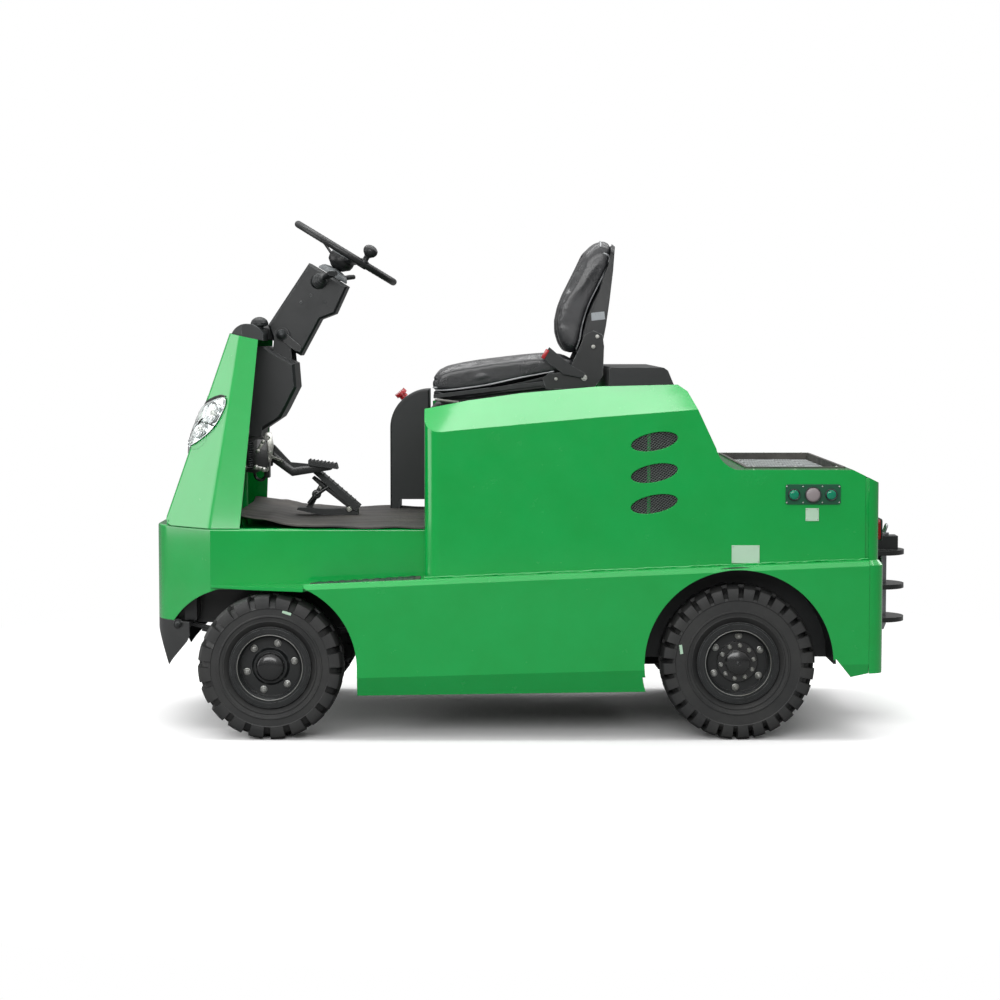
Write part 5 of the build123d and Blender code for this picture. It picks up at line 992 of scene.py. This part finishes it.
front = [(-0.45, -0.222 + 0.444 * k / 60, 1.0615) for k in range(61)]
trim.tube(piping(cushion_tree, front, REARWARD), PIPING)
make(trim, "cushion_piping", piping_vinyl, "seat", smooth=70)

# Backrest: pad in front, hard shell behind, both rounded at the upper corners
BACK_FOOT = 1.165


def rounded_top(z, y):
    reach = max(0.0, (abs(y) - 0.165) / 0.075)
    return BACK_FOOT + (z - BACK_FOOT) * (1 - 0.11 * (1 - sqrt(max(0.0, 1 - reach * reach))))


def back_shift(p, y):
    middle = 1 - smooth_step(abs(y), 0.095, 0.17)
    forward = 1 - smooth_step(p.x, 0.1, 0.2)
    return p.x + 0.013 * middle * forward, rounded_top(p.y, y)


def shell_shift(p, y):
    bow = 0.01 * (abs(y) / SHELL_HALF) ** 2 if p.x > 0.21 else 0.0
    return p.x - bow, rounded_top(p.y, y)


# Up the front, then down behind
back_line = outline_points([
    (604, 239), (596, 242), (587.5, 251), (581, 265), (574.5, 278), (567, 293), (562, 306), (559, 320),
    (559, 333), (562, 345), (566, 351.5), (571, 354), (576, 352), (579, 342), (581, 330), (585, 313),
    (590, 300), (597, 285), (604, 270), (610, 257), (612, 247), (610, 241.5)])
BACK_SEAM = 0.142
BACK_CHANNELS = (1.235, 1.3, 1.365, 1.43)
back_tree = sewn_pad("seat_back_pad", back_line, back_shift, 0.008, [
    (lambda v, n: abs(abs(v.y) - BACK_SEAM) if n.x < -0.15 and v.z < 1.478 else None, 0.0042, 0.0055),
    (lambda v, n: min(abs(v.z - k) for k in BACK_CHANNELS) if n.x < -0.4 and abs(v.y) < BACK_SEAM else None,
     0.005, 0.0042),
    (lambda v, n: abs(v.z - 1.48) if n.x < 0.2 and abs(v.y) < 0.146 else None, 0.004, 0.0045),
], "seat_back")

SHELL_HALF = 0.2335
shell_line = outline_points([
    (613.5, 243.5), (616.8, 246), (615, 270), (611.5, 300), (608, 325), (605.5, 338), (600, 345),
    (589, 351.5), (580, 352.5), (580.5, 346), (583, 331), (587, 314), (592, 301), (599, 286), (606, 271),
    (611.5, 257)])
shell = swept(shell_line, Vector((0.205, 1.33)), SHELL_HALF, 25, 0.0115, 0.03, shell_shift)
make(shell, "seat_back_shell", shell_plastic, "seat", smooth=45)

trim = Shape()
welt = outline_points([(603, 246.5), (608.5, 250), (608, 257), (603.5, 268), (596.5, 283), (589.5, 298),
                       (585, 311), (581.5, 325), (579.5, 338), (576, 348)])
for side in (-1, 1):
    line = curve([(p.x, side * 0.3, rounded_top(p.y, 0.232)) for p in welt], 6)
    trim.tube(piping(back_tree, line, (0, -side, 0)), PIPING)
crest = [(0.2005, -0.214 + 0.428 * k / 60, 1.7) for k in range(61)]
trim.tube(piping(back_tree, crest, DOWN), PIPING)
make(trim, "back_piping", piping_vinyl, "seat", smooth=70)
plate = Shape().upright([(0.172, 1.27), (0.214, 1.2745), (0.2115, 1.299), (0.1705, 1.2945)], -0.2336, 1)
make(plate, "seat_plate", blank_label, "seat", smooth=30)

# Steering wheel
RIM_RADIUS = 0.1775


def on_wheel(a, b, height):
    return WHEEL_MID + WHEEL_ACROSS * a + Vector((0, b, 0)) + WHEEL_AXIS * height


rim = Shape().tube([on_wheel(RIM_RADIUS * cos(angle), RIM_RADIUS * sin(angle), 0) for angle in turns(216)],
                   [11.2 + 0.3 * cos(k * pi / 1.5) for k in range(216)], 16, closed=True)
make(rim, "steering_rim", grip_plastic, "steering_wheel", smooth=60, replaces=("steering_wheel",))
# In millimetres: distance from the middle, height over the rim's plane, half width, half thickness
SPOKE_STEPS = [(30, -26, 16.5, 4.5), (44, -22.5, 16, 4.2), (58, -16, 15, 3.8), (74, -9.5, 14.2, 3.4),
               (95, -5.5, 13.6, 3.2), (125, -3.5, 13, 3.2), (152, -2.5, 13.4, 3.6), (168, -2, 15, 4.8)]
SPOKE_SECTION = [(-1, -0.4), (-0.8, -1), (0.8, -1), (1, -0.4), (1, 0.4), (0.8, 1), (-0.8, 1), (-1, 0.4)]
spokes = Shape()
for turn in (radians(60), radians(180), radians(300)):
    rings = []
    for step in SPOKE_STEPS:
        reach, height, wide, thin = (size * MM for size in step)
        rings.append([on_wheel(reach * cos(turn) - p * wide * sin(turn),
                               reach * sin(turn) + p * wide * cos(turn), height + q * thin)
                      for p, q in SPOKE_SECTION])
    spokes.skin(rings)
make(spokes, "steering_spokes", grip_plastic, "steering_wheel", smooth=40)
hub = Shape().lathe([(41.2, -13.5), (42.5, -20), (43, -30), (40, -42), (30, -50),
                     (23.5, -56), (16, -60), (16, -86)], WHEEL_MID, WHEEL_AXIS, 56)
make(hub, "steering_hub", grip_plastic, "steering_wheel", smooth=40)
knob = Shape().lathe([
    (13.5, -13.5), (15.5, -11.5), (16, 10), (14.5, 13), (9.5, 15), (9, 25),
    (12, 28.5), (19, 34.5), (22.8, 42), (23.5, 48), (21.5, 55), (16, 60.5),
    (8, 64), (0, 65)], on_wheel(0.074, -0.155, 0), WHEEL_AXIS, 36)
make(knob, "steering_knob", grip_plastic, "steering_wheel", smooth=60)

# Brake gear under the column: two green legs, a cross plate, the valve block, its spring and link
legs = Shape()
for y in (-0.0845, 0.0925):
    legs.upright(corners(-0.9565, 0.6355, -0.9385, 0.9045), y, 8)
make(legs, "pedal_gear_legs", green, bevel=1, replaces=("brake_unit",))
gear = Shape().level(corners(-0.9565, -0.0925, -0.87, 0.0925), 0.8945, 10)
for y in (-0.0885, 0.0945):
    gear.upright([(-0.9385, 0.79), (-0.895, 0.786), (-0.856, 0.8), (-0.853, 0.83), (-0.86, 0.8945),
                  (-0.9385, 0.8945)], y, 6)
gear.upright(corners(-0.87, 0.769, -0.853, 0.903), -0.016, 48)
gear.lathe([(21, 0), (21, 52), (17, 56), (17, 74), (11, 78), (11, 100)], (-0.905, -0.03, 0.7955), UP, 28)
gear.lathe([(15, 0), (15, 60), (10, 64), (10, 85)], (-0.88, 0.04, 0.8105), UP, 24)
hose = [(-0.905, 0.796), (-0.903, 0.776), (-0.896, 0.764), (-0.88, 0.76), (-0.868, 0.772)]
gear.tube(curve([(x, -0.03, z) for x, z in hose], 6), 5, 12)
make(gear, "pedal_gear_block", black_paint, bevel=1.2)
coil = Shape().coil((-0.9155, -0.1015, 0.7985), (0, 0, 0.09), (13.5, 0, 0), (0, 7.5, 0), 0.52, 150, 2.1, 8)
make(coil, "pedal_gear_spring", steel_dark, smooth=70)
links = Shape().upright([(-0.9, 0.7985), (-0.862, 0.7905), (-0.858, 0.8015), (-0.898, 0.8115)], -0.0952, 3.5)
links.upright([(-0.893, 0.855), (-0.884, 0.852), (-0.862, 0.886), (-0.872, 0.892)], -0.0952, 3.5)
for x, z, size in ((-0.893, 0.8045, 5.8), (-0.868, 0.7975, 5.8), (-0.886, 0.857, 4.8), (-0.869, 0.886, 4.8),
                   (-0.926, 0.806, 5.6)):
    links.hex_bolt((x, -0.0985, z), LEFT, size, 4.2, washer=size * 1.4)
make(links, "pedal_gear_links", zinc, bevel=0.4, smooth=30)

# Treadle: thick rubber-faced body under its ribs, crank and link to the base
front_x, front_z = photo_point(315, 473.5, 0.06)
rear_x, rear_z = photo_point(357.5, 505, 0.06)
slope = Vector((rear_x - front_x, 0, rear_z - front_z)).normalized()
span = sqrt((rear_x - front_x) ** 2 + (rear_z - front_z) ** 2)
treadle = Shape().slab([(0, -0.0035), (span, -0.0035), (span, -0.0145), (span * 0.82, -0.0175),
                        (span * 0.2, -0.0145), (0, -0.0105)],
                       (front_x, 0.0935, front_z), slope, (-slope.z, 0, slope.x), 67)
make(treadle, "treadle_body", seal_rubber, bevel=1.2)
x, z = photo_point(317, 492.5, 0.03)
crank = Shape().lathe([(15, 0), (15, 10), (13, 11.5), (7.5, 11.5), (6.5, 10), (0, 10)],
                      (x, 0.034, z), LEFT, 28)
a, b = photo_point(330, 484, 0.03)
crank.tube([(x, 0.029, z), ((x + a) / 2, 0.029, (z + b) / 2), (a, 0.029, b)], [8, 7, 6], 10)
a, b = photo_point(309, 502, 0.03)
crank.tube([(x, 0.029, z), (a, 0.029, b)], [8, 6.5], 10)
make(crank, "treadle_crank", black_paint, smooth=45)

# Seat pan: black shell between the cushion and the seat base
pan_line = outline_points([
    (434, 391), (441, 393.5), (465, 391.5), (490, 387.5), (514, 383), (538, 377.5), (556, 373), (575, 368.5),
    (586, 371), (587, 381), (560, 385), (530, 389), (500, 392), (470, 396.5), (440, 399), (434, 396)])
pan = swept(pan_line, Vector((-0.1, 1.072)), 0.226, 17, 0.018, 0.05, lambda p, y: p)
make(pan, "seat_pan", shell_plastic, "seat", smooth=45)

# Floor: grey to the light, white to the camera, and fading into the background round the tractor
floor_mesh = bpy.data.meshes.new("floor")
floor_mesh.from_pydata([(-40, -30, 0), (40, -30, 0), (40, 60, 0), (-40, 60, 0)], [], [(0, 1, 2, 3)])
put("floor", floor_mesh)
floor_material, tree, shader = shader_nodes("floor_white")
camera_ray = add_node(tree, "LightPath").outputs["Is Camera Ray"]
feed(tree, shader, Base_Color=blend_colour(tree, camera_ray, (0.24, 0.24, 0.24), (1, 1, 1)), Roughness=0.9,
     Specular_IOR_Level=0)
reach = add_node(tree, "VectorMath", (0, add_node(tree, "TexCoord").outputs["Object"]), operation="LENGTH")
far = maths(tree, "MULTIPLY", spread(tree, reach.outputs["Value"], 1.5, 3.2), camera_ray)
white = add_node(tree, "Emission", Strength=1)
mixed = add_node(tree, "MixShader", (0, far), (1, shader.outputs[0]), (2, white.outputs[0]))
feed(tree, tree.nodes["Material Output"], Surface=mixed.outputs[0])
floor_mesh.materials.append(floor_material)

# World: white to the camera and through glass, and brighter from above than from the horizon
world = bpy.data.worlds.new("studio")
bpy.context.scene.world = world
world.use_nodes = True
tree = world.node_tree
split = add_node(tree, "SeparateXYZ", (0, add_node(tree, "TexCoord").outputs["Generated"]))
path = add_node(tree, "LightPath")
seen = maths(tree, "MAXIMUM", path.outputs["Is Camera Ray"], path.outputs["Is Transmission Ray"])
height = spread(tree, split.outputs[2], 0.03, 0.65, 0.1, 0.95)
strength = add_node(tree, "Mix", (0, seen), (2, height), (3, 1.0))
feed(tree, tree.nodes["Background"], Color=(1, 1, 1), Strength=strength.outputs[0])

# Softboxes: name, place, target, width, height, watts
for name, place, target, width, height, power in (
        ("top_box_near", (0, -0.86, 4), (0, -0.86, 0), 5.6, 0.72, 58),
        ("top_box_far", (0, 0.86, 4), (0, 0.86, 0), 5.6, 0.72, 72),
        ("key_box", (-1.2, -6, 2.8), (0, -0.4, 0.6), 5, 2.1, 176),
        ("nose_box", (-5, -0.5, 1.7), (-1, 0, 0.6), 3.4, 3, 70),
        ("rear_box", (4.6, 3.5, 3.2), (0.4, 0, 0.8), 2.6, 2.6, 60)):
    light = bpy.data.lights.new(name, "AREA")
    light.shape = "RECTANGLE"
    light.size, light.size_y = width, height
    light.energy = power
    holder = put(name, light)
    holder.location = place
    holder.rotation_euler = (Vector(target) - Vector(place)).to_track_quat("-Z", "Y").to_euler()

CAMERA_DIP = 3.9066
camera_data = bpy.data.cameras.new("camera")
camera_data.sensor_width = 36.0
camera_data.lens = 87.2281
camera = put("camera", camera_data)
camera.location = (-0.11395, -7.81813, 1.22727)
camera.rotation_euler = (radians(90 - CAMERA_DIP), 0, 0)
bpy.context.scene.camera = camera
bpy.context.scene.view_settings.view_transform = "Standard"
